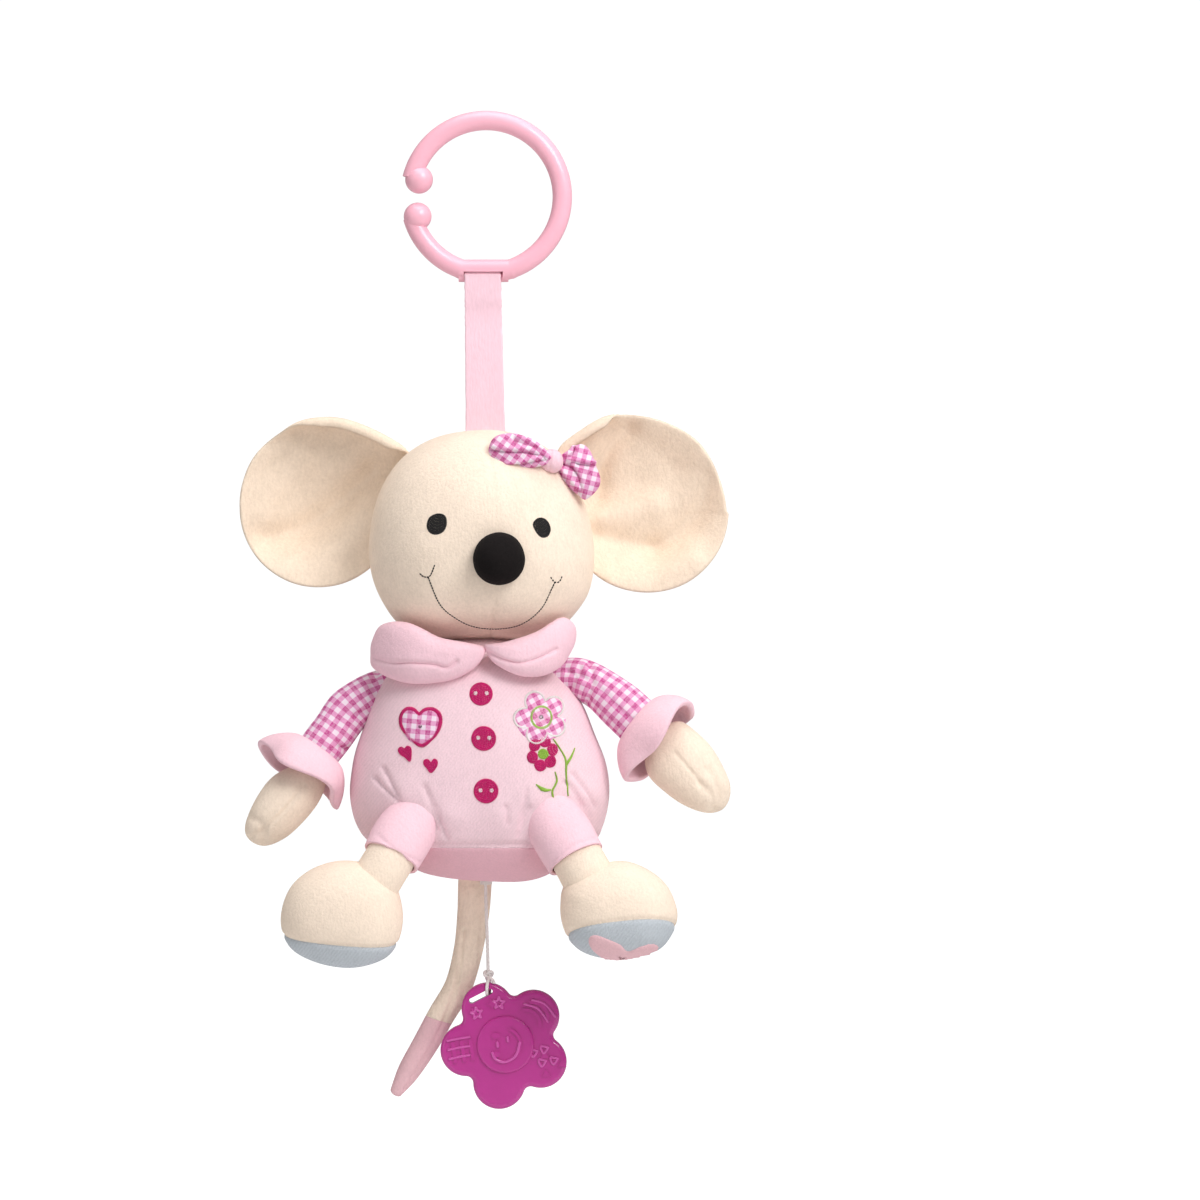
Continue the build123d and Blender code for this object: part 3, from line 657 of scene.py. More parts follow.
def check_effect():
    """Gingham: two ways of coloured stripes that cross, in a plain weave."""
    name = "Gingham weave"
    if name in bpy.data.node_groups:
        return bpy.data.node_groups[name]
    tree, bench, given = effect(
        name,
        [
            ("Vector", "Vector", None),
            ("Check", "Float", 0.0054),
            ("Both", "Color", (0.6, 0.07, 0.3, 1)),
            ("One", "Color", (0.8, 0.35, 0.6, 1)),
            ("None", "Color", (0.9, 0.8, 0.85, 1)),
        ],
    )
    wobble = bench.noise(given["Vector"], 130.0, 2.0, 0.5)
    wobble = bench.maths("MULTIPLY", bench.maths("SUBTRACT", wobble, 0.5), 0.0007)
    axes = bench.add("ShaderNodeSeparateXYZ", {"Vector": given["Vector"]}).outputs
    stripes = []
    ribs = []
    for axis in ("X", "Y"):
        at = bench.maths("ADD", axes[axis], wobble)
        turns = bench.maths("DIVIDE", at, given["Check"])
        wave = bench.maths("SINE", bench.maths("MULTIPLY", turns, math.tau))
        stripes.append(bench.ranged(wave, -0.16, 0.16))
        ribs.append(bench.maths("SINE", bench.maths("MULTIPLY", at, math.tau / 0.00055)))
    weave = bench.maths("MULTIPLY", ribs[0], ribs[1])
    colour = bench.mixed(stripes[0], given["None"], given["One"])
    crossed = bench.mixed(stripes[0], given["One"], given["Both"])
    colour = bench.mixed(stripes[1], colour, crossed)
    slub = bench.noise(given["Vector"], 900.0, 2.0, 0.6)
    faded = bench.mixed(bench.ranged(slub, 0.35, 0.7, 0.0, 0.3), colour, given["None"])
    faded = bench.mixed(bench.ranged(weave, -1.0, 1.0, 0.12, 0.0), faded, given["One"])
    height = bench.maths("ADD", bench.maths("MULTIPLY", weave, 0.5), slub)
    bench.add("NodeGroupOutput", {"Colour": faded, "Height": height})
    return tree


def yarn_effect():
    """Twisted or ribbed yarn: fine parallel strands with a little fading."""
    name = "Yarn strands"
    if name in bpy.data.node_groups:
        return bpy.data.node_groups[name]
    tree, bench, given = effect(
        name,
        [
            ("Vector", "Vector", None),
            ("Colour", "Color", (0.8, 0.1, 0.3, 1)),
            ("Shade", "Color", (0.4, 0.05, 0.15, 1)),
            ("Strands", "Float", 900.0),
            ("Stretch", "Vector", (1.0, 1.0, 1.0)),
        ],
    )
    place = bench.add(
        "ShaderNodeVectorMath", {0: given["Vector"], 1: given["Stretch"]}, operation="MULTIPLY"
    ).outputs[0]
    fibre = bench.noise(place, given["Strands"], 3.0, 0.6)
    patchy = bench.noise(given["Vector"], 220.0, 2.0, 0.5)
    both = bench.maths(
        "ADD", bench.ranged(fibre, 0.3, 0.7, 0.0, 0.65), bench.ranged(patchy, 0.3, 0.7, 0.0, 0.35)
    )
    colour = bench.mixed(both, given["Shade"], given["Colour"])
    bench.add("NodeGroupOutput", {"Colour": colour, "Height": fibre})
    return tree


def moulded_effect():
    """Moulded plastic or cast metal: faint flow marks and fine pits."""
    name = "Moulded surface"
    if name in bpy.data.node_groups:
        return bpy.data.node_groups[name]
    tree, bench, given = effect(
        name,
        [
            ("Vector", "Vector", None),
            ("Colour", "Color", (0.8, 0.3, 0.4, 1)),
            ("Shade", "Color", (0.7, 0.2, 0.3, 1)),
            ("Grain", "Float", 400.0),
            ("Stretch", "Vector", (1.0, 1.0, 1.0)),
        ],
    )
    place = bench.add(
        "ShaderNodeVectorMath", {0: given["Vector"], 1: given["Stretch"]}, operation="MULTIPLY"
    ).outputs[0]
    flow = bench.noise(place, 35.0, 2.0, 0.5)
    pits = bench.noise(place, given["Grain"], 3.0, 0.6)
    tone = bench.maths("ADD", bench.ranged(flow, 0.3, 0.7, 0.0, 0.7), bench.ranged(pits, 0.3, 0.7, 0.0, 0.3))
    colour = bench.mixed(tone, given["Shade"], given["Colour"])
    bench.add("NodeGroupOutput", {"Colour": colour, "Height": pits})
    return tree


def darker(colour, share=0.72, warm=1.0):
    """The same dye in the shade of the pile."""
    return (colour[0] * share * warm, colour[1] * share, colour[2] * share / warm, 1.0)


def finish(name, group, values, cloth_uv, bump, rough, **shader):
    """A material: one effect for colour and height on a Principled shader."""
    if name in bpy.data.materials:
        return bpy.data.materials[name]
    material = bpy.data.materials.new(name)
    material.use_nodes = True
    material.node_tree.nodes.clear()
    bench = Bench(material.node_tree)
    if cloth_uv:
        place = bench.add("ShaderNodeUVMap", uv_map="Cloth").outputs[0]
    else:
        place = bench.add("ShaderNodeTexCoord").outputs["Object"]
    look = bench.add("ShaderNodeGroup", node_tree=group)
    bench.tree.links.new(place, look.inputs["Vector"])
    for key, value in values.items():
        look.inputs[key].default_value = value
    relief = bench.add(
        "ShaderNodeBump", {"Strength": bump[0], "Distance": bump[1] * MM, "Height": look.outputs["Height"]}
    )
    inputs = {
        "Base Color": look.outputs["Colour"],
        "Normal": relief.outputs[0],
        "Roughness": rough,
    }
    surface = bench.add("ShaderNodeBsdfPrincipled", {**inputs, **shader})
    bench.add("ShaderNodeOutputMaterial", {"Surface": surface.outputs[0]})
    return material


def plush(name, colour, shade=0.74, warm=1.02, tufts=700.0, rows=0.0, mottle=0.35, relief=0.9):
    """Soft short-pile cloth, a little lighter where it turns away."""
    values = {
        "Colour": (*colour, 1.0),
        "Shade": darker(colour, shade, warm),
        "Tufts": tufts,
        "Rows": rows,
        "Mottle": mottle,
    }
    soft = {
        "Sheen Weight": 0.25,
        "Sheen Roughness": 0.45,
        "Sheen Tint": (*colour, 1.0),
        "Specular IOR Level": 0.15,
    }
    return finish(name, pile_effect(), values, False, (0.55, relief), 0.95, **soft)


def gingham(colours, sizes, name="Gingham cotton"):
    """Woven check cotton."""
    values = {
        "Check": sizes.check,
        "Both": (*colours.check_dark, 1.0),
        "One": (*colours.check_middle, 1.0),
        "None": (*colours.check_light, 1.0),
    }
    return finish(name, check_effect(), values, True, (0.4, 0.25), 0.85, **{"Specular IOR Level": 0.2})


def yarn(name, colour, strands=900.0, shade=0.6, stretch=(1.0, 1.0, 1.0), rough=0.5, relief=0.3):
    """Embroidery thread, tape or cord."""
    values = {
        "Colour": (*colour, 1.0),
        "Shade": darker(colour, shade),
        "Strands": strands,
        "Stretch": stretch,
    }
    return finish(name, yarn_effect(), values, False, (0.5, relief), rough, **{"Specular IOR Level": 0.4})


def moulded(name, colour, rough=0.35, shade=0.9, coat=0.0, relief=0.05, **shader):
    """Moulded plastic, or metal where it is given."""
    values = {"Colour": (*colour, 1.0), "Shade": darker(colour, shade)}
    shader = {key.replace("_", " "): value for key, value in shader.items()}
    return finish(
        name, moulded_effect(), values, False, (0.25, relief), rough, **{"Coat Weight": coat, **shader}
    )


def put_finish(node, material):
    """Gives a CAD piece a better finish."""
    obj = NODES[node]
    obj.data.materials.clear()
    obj.data.materials.append(material)
    obj.data.shade_smooth()
    return obj


def drawn_in(node, low, high, share):
    """The points and faces of a solid of the row, with all that is beyond a box drawn in towards it."""
    solid = bpy.data.objects[node]
    co = np.array([solid.matrix_world @ v.co for v in solid.data.vertices]) / MM
    inner = np.clip(co, low, high)
    return inner + (co - inner) * share, [tuple(f.vertices) for f in solid.data.polygons]


def stand_for(obj, body, slot, *nodes, fill=None, bend=None):
    """Puts a finished piece in the place of CAD pieces, on its body."""
    if bend:
        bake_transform(obj)
    else:
        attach(obj, body)
    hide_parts(*nodes)
    return obj


# ---------------------------------------------------------------- what a user would change


def length(name, description, default, subtype="DISTANCE", unit="LENGTH"):
    return FloatProperty(
        name=name, description=description, default=default, subtype=subtype, unit=unit, precision=4
    )


def dye(name, description, *rgb):
    return FloatVectorProperty(
        name=name, description=description, default=srgb(*rgb), subtype="COLOR", min=0, max=1, size=3
    )


class MouseSizes(bpy.types.PropertyGroup):
    """Sizes that change the look of the cloth and its sewing."""

    check: length("Check", "Repeat of the gingham check", 0.0054)
    thread: length("Thread", "Width of one stitch of embroidery", 0.0006)
    curl: length("Ear curl", "Radius of the curl along the top of an ear", 0.0064)
    ruffle: length("Ruffle", "Height of the waves in a cuff's hem", 0.0035)
    tape: length("Tape", "Thickness of the hanging tape", 0.0011)
    cord: length("Cord", "Thickness of the pull cord", 0.0018)
    fullness: FloatProperty(
        name="Fullness", description="How tightly the soft parts are stuffed", default=0.8, min=0, max=1
    )


class MouseColours(bpy.types.PropertyGroup):
    """Dyes and plastics."""

    cream: dye("Cream plush", "Head, ears, hands, legs and tail", 251, 232, 213)
    sand: dye("Ear plush", "Plush of the ears, brushed the other way", 246, 226, 205)
    velour: dye("Body velour", "Front and back of the body", 245, 212, 220)
    rose: dye("Base velour", "Panel under the body", 234, 184, 196)
    pink: dye("Pink plush", "Collar, cuffs and trouser ends", 249, 208, 219)
    blush: dye("Tail plush", "Tip of the tail and the heart under the foot", 238, 194, 200)
    grey: dye("Sole velour", "Soles of the feet", 196, 202, 208)
    tape: dye("Tape", "Hanging tape", 253, 212, 224)
    ring: dye("Ring plastic", "Hanging ring", 253, 186, 203)
    flower: dye("Flower plastic", "Pull handle", 196, 44, 148)
    # Painted highlight: the marks that stand up on the pull handle are the handle's own plastic; this
    # lighter colour stands in for the light they catch.
    relief: dye("Flower relief highlight", "Raised marks on the pull handle", 214, 84, 174)
    black: dye("Black", "Nose, eyes and mouth", 26, 22, 22)
    magenta: dye("Magenta thread", "Buttons, hearts and flower", 218, 30, 118)
    green: dye("Green thread", "Stems, leaves and flower ring", 168, 208, 84)
    white: dye("White thread", "Cord, outlines and button holes", 246, 238, 236)
    check_dark: dye("Check, both ways", "Gingham where stripes cross", 196, 60, 138)
    check_middle: dye("Check, one way", "Gingham stripes", 228, 150, 196)
    check_light: dye("Check, neither", "Gingham between stripes", 244, 228, 238)


# ---------------------------------------------------------------- pieces

HEAD_LINE = [
    (-3.4, -167.7), (-25.8, -171.1), (-42.6, -180.0), (-54.9, -194.6), (-62.7, -212.5),
    (-65.5, -232.1), (-63.8, -248.9), (-57.7, -264.6), (-48.2, -277.5), (-34.2, -284.2),
    (-20.2, -285.9), (-1.7, -285.9), (24.6, -285.3), (41.4, -278.6), (55.4, -262.9), (59.9, -246.1),
    (59.4, -226.5), (54.3, -206.9), (44.2, -189.0), (33.0, -177.2), (16.2, -170.0),
]
HEAD_MIDDLE = (-3.0, -228.0)
HEAD_DEPTH = 3.0
NOSE_LINE = [
    (7.3, -225.1), (-0.1, -227.2), (-5.1, -232.2), (-7.3, -239.6), (-5.7, -247.2), (-0.6, -252.6),
    (7.3, -254.7), (15.2, -252.6), (20.3, -247.0), (22.0, -239.6), (19.7, -232.0), (14.7, -227.0),
]
NOSE_MIDDLE = (7.3, -239.8)
TORSO_LINE = [
    (0.0, -283.1), (-31.4, -287.6), (-56.3, -306.0), (-70.6, -341.3), (-75.0, -360.9),
    (-75.6, -374.9), (-72.2, -388.9), (-63.8, -400.1), (-48.2, -408.5), (-31.4, -416.4),
    (-3.4, -420.3), (30.2, -418.6), (58.2, -400.1), (65.5, -388.9), (68.9, -372.1), (67.2, -355.3),
    (61.0, -338.5), (52.6, -318.9), (37.5, -302.1), (21.8, -287.6),
]
TORSO_MIDDLE = (-4.0, -358.0)
TORSO_DEPTH = 3.0
BASE_SEAM = -399.6


def head_form():
    """The stuffed head with its sewn lines."""
    co, faces = stuffed(HEAD_LINE, HEAD_MIDDLE, HEAD_DEPTH, 56.0, 52.0, crown=2.15, cuts=56)
    co = swellings(
        co,
        faces,
        [
            (7.3, -252.0, 26.0, 3.0),
            (-26.0, -214.0, 16.0, -1.2),
            (32.0, -216.0, 16.0, -1.2),
            (7.3, -239.8, 19.0, -1.8),
            (-40.0, -258.0, 20.0, 1.6),
            (44.0, -254.0, 18.0, 1.6),
        ],
    )
    muzzle = [[
        (6.2, -254.0), (4.5, -265.2), (3.4, -275.2), (2.2, -285.9),
    ]]
    crown = [[
        (0.0, -167.7), (2.2, -184.5), (5.0, -204.1), (6.7, -226.0),
    ]]
    co = crease(co, faces, muzzle, 1.6, 0.9)
    co = crease(co, faces, crown, 1.2, 0.35)
    return lumps(co, faces, 17.0, 0.8, 3), faces


class MOUSE_OT_ring(bpy.types.Operator):
    """The plastic hanging ring with its two ball ends"""

    bl_idname = "mouse.ring"
    bl_label = "Hanging ring"

    def execute(self, context):
        colours = context.scene.mouse_colours
        plastic = moulded("Ring plastic", colours.ring, rough=0.32, shade=0.93, coat=0.15)
        put_finish("hanging_ring", plastic)
        return {"FINISHED"}


class MOUSE_OT_tape(bpy.types.Operator):
    """The woven tape that is looped over the ring's bar and sewn into the head"""

    bl_idname = "mouse.tape"
    bl_label = "Hanging tape"

    def execute(self, context):
        sizes, colours = context.scene.mouse_sizes, context.scene.mouse_colours
        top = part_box("hanging_strap")[1].z / MM - 0.6
        turn = np.linspace(0, math.pi, 13)
        loop = np.stack([3.7 * np.cos(turn), top - 3.7 + 3.7 * np.sin(turn)], 1)
        back = [(0.65, -172.0), (0.65, -150.0), (0.65, -120.0), (0.7, -104.0), (2.6, -94.0)]
        front = [(-y, z) for y, z in back]
        side = smooth_line([*back, *loop, *front[::-1]], 150)
        rows, across = len(side), 25
        share = np.linspace(-1, 1, across)
        co = []
        for y, z in side:
            fall = np.clip((top - z) / 95.0, 0, 1)
            middle = -1.9 + 1.6 * fall
            half = 10.1 + 0.9 * fall + 0.12 * math.sin(z * 1.9) + 0.08 * math.sin(z * 0.7)
            co += [(middle + s * half, y, z) for s in share]
        co = np.array(co)
        faces = [
            (i * across + j, i * across + j + 1, (i + 1) * across + j + 1, (i + 1) * across + j)
            for i in range(rows - 1)
            for j in range(across - 1)
        ]
        weave = yarn("Tape weave", colours.tape, 800.0, 0.9, (1.0, 1.0, 0.25), rough=0.8, relief=0.5)
        tape = piece("tape", co, faces, weave)
        wall = tape.modifiers.new("Wall", "SOLIDIFY")
        wall.thickness = sizes.tape
        wall.offset = 0
        settle(tape)
        bend = ("strap", "head", (0, 0, -0.160), (0, 0, -0.170))
        stand_for(tape, None, "pink_tape", "hanging_strap", bend=bend)
        return {"FINISHED"}


class MOUSE_OT_head(bpy.types.Operator):
    """The stuffed plush head and its nose"""

    bl_idname = "mouse.head"
    bl_label = "Head and nose"

    def execute(self, context):
        sizes, colours = context.scene.mouse_sizes, context.scene.mouse_colours
        cream = plush("Cream plush", colours.cream)
        co, faces = head_form()
        head = piece("head", co, faces, cream)
        stand_for(head, "head", "cream_plush", "head_skin", fill=sizes.fullness)
        black = plush("Black plush", colours.black, 0.45, 1.0, 600.0, mottle=0.5)
        co, faces = stuffed(NOSE_LINE, NOSE_MIDDLE, -54.0, 15.5, 12.0, crown=2.02, cuts=22)
        co = lumps(co, faces, 6.0, 0.3, 8)
        nose = piece("nose_pad", co, faces, black)
        stand_for(nose, "head", "black_plush", "nose", fill=1.0)
        return {"FINISHED"}


class MOUSE_OT_face(bpy.types.Operator):
    """The embroidered eyes and the thread mouth"""

    bl_idname = "mouse.face"
    bl_label = "Eyes and mouth"

    def execute(self, context):
        colours = context.scene.mouse_colours
        tree = landing(*head_form())
        black = yarn("Black thread", colours.black, 1400.0, 0.5, rough=0.6)
        left = [
            (-26.9, -215.0), (-31.4, -217.0), (-32.8, -221.5), (-31.4, -224.8), (-28.0, -226.0),
            (-24.1, -224.3), (-22.4, -220.4), (-23.2, -216.2),
        ]
        right = [
            (29.1, -217.6), (26.6, -220.4), (28.0, -224.3), (30.8, -227.4), (34.2, -227.1),
            (35.8, -223.7), (34.7, -219.8), (32.2, -217.6),
        ]
        for name, line, way, node in (
            ("eye_thread_left", left, (0.25, 1.0), "eye_left"),
            ("eye_thread_right", right, (-0.35, 1.0), "eye_right"),
        ):
            rows = filled(tree, line, way, 3.4, 0.42, 0.1)
            rim = satin_border(tree, line, 1.1, 0.4)
            eye = stitches(name, [rows, rim], black, 0.62, 0.7)
            stand_for(eye, "head", "black_thread", node)
        smile = [
            (-32.5, -250.0), (-26.0, -265.2), (-17.4, -273.0), (-6.7, -278.0), (7.3, -279.2),
            (20.2, -276.4), (30.8, -268.0), (37.0, -256.2), (38.6, -252.6),
        ]
        hook_left = [
            (-37.2, -248.1), (-34.7, -250.0), (-31.4, -249.5), (-28.7, -243.3),
        ]
        hook_right = [
            (36.0, -250.0), (38.4, -252.9), (41.0, -252.7), (42.6, -249.6),
        ]
        lines = [running_line(tree, line, 1.6, -0.1, sink=0.05) for line in (smile, hook_left, hook_right)]
        mouth = stitches("mouth_thread", lines, black, 0.95, 0.75)
        stand_for(mouth, "head", "black_thread", "mouth_stitch")
        return {"FINISHED"}


def ear_form(line, middle, depth, dish, curl, curls, valleys, thick=2.4):
    """A cupped ear whose top edge curls forward. Curls gives the angles between which it does."""
    rings, around = 44, 168
    angle = np.arange(around) / around * math.tau
    flat_middle = at_depth([middle], depth)[0]
    rim = reach(at_depth(line, depth), flat_middle, angle)
    start, full_start, full_end, end = (math.radians(v) for v in curls)
    rise = np.clip((angle - start) / (full_start - start), 0, 1)
    fall = np.clip((end - angle) / (end - full_end), 0, 1)
    weight = np.minimum(rise * rise * (3 - 2 * rise), fall * fall * (3 - 2 * fall))
    bend = weight * 2.9
    flat_reach = rim - curl * np.sin(np.minimum(bend, math.pi / 2))
    total = flat_reach + curl * bend
    share = np.linspace(0, 1, rings + 1)[1:, None]
    run = share * total
    rolled = np.maximum(run - flat_reach, 0) / curl
    out = np.minimum(run, flat_reach) + curl * np.sin(rolled)
    x = flat_middle[0] + out * np.cos(angle)
    z = flat_middle[1] + out * np.sin(angle)
    y = depth + dish * (1 - (out / rim) ** 2) - curl * (1 - np.cos(rolled))
    mid = np.stack([x, y, z], 2)
    flat = mid[:, :, [0, 2]].reshape(-1, 2)
    for path, width, deep in valleys:
        hollow = np.exp(-((line_distance(flat, smooth_line(path, 40)) / width) ** 2))
        mid[:, :, 1] += (deep * hollow).reshape(rings, around) * (1 - rolled / 3.2)
    lean_round = np.roll(mid, -1, 1) - np.roll(mid, 1, 1)
    lean_out = np.gradient(mid, axis=0)
    normal = np.cross(lean_round, lean_out)
    normal /= np.linalg.norm(normal, axis=2)[:, :, None]
    if normal[2, :, 1].mean() > 0:
        normal = -normal
    half = thick * np.sqrt(np.clip(1 - share**7, 0, 1)) * (0.75 + 0.25 * (1 - share))
    near = mid + normal * half[:, :, None]
    far = (mid - normal * half[:, :, None])[-2::-1]
    co = np.vstack([near.reshape(-1, 3), far.reshape(-1, 3), near[0].mean(0), far[-1].mean(0)])
    rows = 2 * rings - 1
    faces = rows_to_faces(rows, around)
    first, last = rows * around, rows * around + 1
    for j in range(around):
        k = (j + 1) % around
        faces.append((k, j, first))
        faces.append(((rows - 1) * around + j, (rows - 1) * around + k, last))
    if normals_of(co, faces)[first][1] > 0:
        faces = [f[::-1] for f in faces]
    return lumps(co, faces, 9.0, 0.5, 5), faces


class MOUSE_OT_ears(bpy.types.Operator):
    """The two cupped ears, sewn behind the head"""

    bl_idname = "mouse.ears"
    bl_label = "Ears"

    def execute(self, context):
        sizes, colours = context.scene.mouse_sizes, context.scene.mouse_colours
        sand = plush("Ear plush", colours.sand, 0.72, 1.04, 620.0, mottle=0.45)
        curl = sizes.curl / MM
        line = [
            (-41.4, -184.0), (-54.9, -173.3), (-73.4, -164.9), (-87.9, -162.1), (-104.2, -164.4),
            (-121.0, -173.3), (-132.2, -186.2), (-137.8, -204.7), (-136.1, -223.7),
            (-127.7, -240.5), (-112.6, -253.4), (-92.4, -259.6), (-76.2, -257.3), (-62.2, -251.7),
            (-52.6, -240.5), (-47.0, -218.1), (-42.6, -198.5),
        ]
        left = ear_form(
            line,
            (-94.0, -212.0),
            9.0,
            17.0,
            curl,
            (18, 42, 84, 140),
            [
                ([
                    (-63.8, -190.1), (-81.8, -206.9), (-104.2, -222.6), (-125.4, -228.2),
                ], 9.0, 6.5),
                ([
                    (-51.0, -206.9), (-70.6, -223.7), (-93.0, -240.5), (-109.8, -243.9),
                ], 10.0, -4.5),
                ([
                    (-104.2, -185.6), (-121.0, -201.3), (-125.4, -215.3),
                ], 9.0, -2.0),
            ],
        )
        line = [
            (41.4, -180.0), (54.3, -168.8), (67.2, -161.6), (80.6, -159.3), (100.2, -163.2),
            (118.2, -173.9), (129.9, -192.4), (135.0, -214.8), (132.2, -234.9), (122.1, -251.7),
            (105.8, -261.8), (86.2, -264.6), (69.4, -262.9), (56.0, -258.4), (48.2, -240.5),
            (44.8, -218.1), (41.4, -198.5),
        ]
        right = ear_form(
            line,
            (90.0, -213.0),
            9.0,
            15.0,
            curl,
            (95, 118, 146, 176),
            [
                ([
                    (79.5, -166.6), (69.4, -175.6), (62.7, -190.1), (61.6, -206.9),
                ], 7.0, 5.0),
                ([
                    (126.6, -195.7), (119.8, -212.5), (107.5, -226.5), (94.6, -233.8),
                ], 8.0, 4.5),
                ([
                    (94.6, -233.8), (80.6, -232.1), (69.4, -228.2), (61.6, -226.5),
                ], 7.0, 3.0),
                ([
                    (91.8, -209.7), (77.8, -213.6), (66.6, -215.9),
                ], 10.0, -5.0),
                ([
                    (114.2, -240.5), (94.6, -249.5), (72.2, -251.7),
                ], 9.0, -4.0),
                ([
                    (91.8, -173.3), (108.6, -190.1),
                ], 9.0, 1.5),
            ],
        )
        for name, (co, faces), bend, nodes in (
            ("ear_left", left, (-0.052, -0.076), ("ear_left_back", "ear_left_front")),
            ("ear_right", right, (0.046, 0.070), ("ear_right_back", "ear_right_front")),
        ):
            ear = piece(name + "_cup", co, faces, sand)
            ends = [(x, 0.008, -0.211) for x in bend]
            stand_for(ear, None, "cream_plush", *nodes, fill=0.4, bend=("head", name, *ends))
        return {"FINISHED"}


class MOUSE_OT_bow(bpy.types.Operator):
    """The gingham bow with its plush knot"""

    bl_idname = "mouse.bow"
    bl_label = "Bow"

    def execute(self, context):
        sizes, colours = context.scene.mouse_sizes, context.scene.mouse_colours
        cotton = gingham(colours, sizes)
        left = [
            (35.3, -182.8), (30.8, -177.2), (21.8, -171.6), (12.3, -169.7), (4.5, -172.2),
            (1.4, -178.9), (3.4, -185.6), (10.6, -189.3), (20.2, -189.8), (29.1, -188.4),
            (34.2, -186.8),
        ]
        right = [
            (41.4, -184.5), (44.8, -180.6), (49.3, -176.9), (54.0, -175.8), (58.2, -179.5),
            (61.6, -187.9), (64.1, -195.2), (62.7, -200.8), (56.0, -206.9), (51.0, -204.1),
            (45.4, -199.1), (39.8, -191.2),
        ]
        folds_left = [
            [
                (35.3, -184.5), (24.6, -180.6), (10.6, -180.0), (3.4, -178.9),
            ],
            [
                (35.3, -185.1), (27.4, -185.6), (19.0, -187.3), (10.6, -187.9),
            ],
            [
                (34.2, -183.4), (25.8, -176.7), (16.2, -173.3),
            ],
        ]
        folds_right = [
            [
                (40.9, -186.2), (48.2, -189.0), (52.6, -194.6), (54.3, -205.2),
            ],
            [
                (41.4, -185.6), (51.0, -186.8), (61.6, -187.9),
            ],
            [
                (42.6, -184.5), (47.0, -181.7), (48.7, -177.8),
            ],
            [
                (39.8, -189.0), (44.2, -194.6), (51.5, -202.4),
            ],
        ]
        for name, line, middle, depth, folds, turn, node in (
            ("bow_left_loop", left, (18.5, -180.3), -34.0, folds_left, 0.62, "bow_loop_left"),
            ("bow_right_loop", right, (54.0, -190.0), -18.0, folds_right, 0.25, "bow_loop_right"),
        ):
            co, faces = stuffed(line, middle, depth, 6.5, 6.5, crown=2.4, cuts=34)
            co = crease(co, faces, folds, 0.9, 2.2)
            co = crease(co, faces, [np.array(f) + (0.6, 1.9) for f in folds], 1.1, -1.3)
            co = lumps(co, faces, 3.5, 0.35, 9)
            c, s = math.cos(turn), math.sin(turn)
            flat = seen(co)
            cloth = np.stack([flat[:, 0] * c - flat[:, 1] * s, flat[:, 0] * s + flat[:, 1] * c], 1)
            uv = [cloth[k] for f in faces for k in f]
            loop = piece(name, co, faces, cotton, uv)
            stand_for(loop, "head", "gingham", node, fill=0.2)
        line = [
            (35.8, -178.6), (30.8, -180.6), (29.1, -185.1), (30.8, -189.6), (35.3, -191.8),
            (40.3, -191.2), (43.1, -187.3), (42.6, -182.3), (39.8, -179.2),
        ]
        co, faces = stuffed(line, (36.0, -185.0), -25.0, 9.5, 7.0, crown=2.3, cuts=20)
        co = crease(co, faces, [[
            (36.4, -178.4), (35.3, -191.8),
        ], [
            (40.3, -179.5), (39.2, -191.2),
        ]], 0.9, 0.5)
        knot = piece("bow_band", co, faces, plush("Bow band", colours.pink, 0.82, 1.0, 800.0))
        stand_for(knot, "head", "pink_plush", "bow_knot")
        return {"FINISHED"}


def torso_form():
    """The stuffed body with its seams and the gathers round the legs."""
    co, faces = stuffed(TORSO_LINE, TORSO_MIDDLE, TORSO_DEPTH, 52.5, 50.0, crown=2.5, cuts=72)
    seam = [[
        (-75.0, -396.2), (-56.6, -398.4), (-31.4, -399.8), (-3.4, -400.1), (24.6, -399.6),
        (52.6, -396.8), (67.2, -395.1),
    ]]
    co = crease(co, faces, seam, 1.5, 1.5)
    co = crease(co, faces, seam, 1.5, 1.5, FAR)
    gathers = [
        [
            (-62.7, -362.6), (-57.1, -368.2), (-51.5, -373.2), (-47.0, -376.6),
        ],
        [
            (-57.7, -357.0), (-52.6, -366.0), (-48.7, -372.7),
        ],
        [
            (-34.7, -367.1), (-31.4, -374.9), (-29.1, -385.0), (-26.9, -391.7),
        ],
        [
            (-29.1, -378.3), (-25.2, -387.2), (-21.8, -396.2),
        ],
        [
            (11.2, -378.3), (12.0, -388.4),
        ],
        [
            (23.0, -369.3), (21.3, -379.4), (19.6, -390.6),
        ],
        [
            (25.2, -378.3), (21.8, -386.1), (18.5, -395.1),
        ],
        [
            (44.8, -364.8), (48.7, -369.3), (53.8, -378.3),
        ],
        [
            (49.3, -360.4), (55.4, -369.3), (60.5, -378.3),
        ],
    ]
    co = crease(co, faces, gathers, 1.1, 1.5)
    puffs = [
        (-47.0, -370.0, 9.0, 1.6),
        (-20.0, -384.0, 8.0, 1.8),
        (8.0, -384.0, 10.0, 1.2),
        (26.0, -372.0, 7.0, 1.2),
        (58.0, -373.0, 8.0, 1.6),
    ]
    co = swellings(co, faces, puffs)
    return lumps(co, faces, 16.0, 0.9, 12), faces


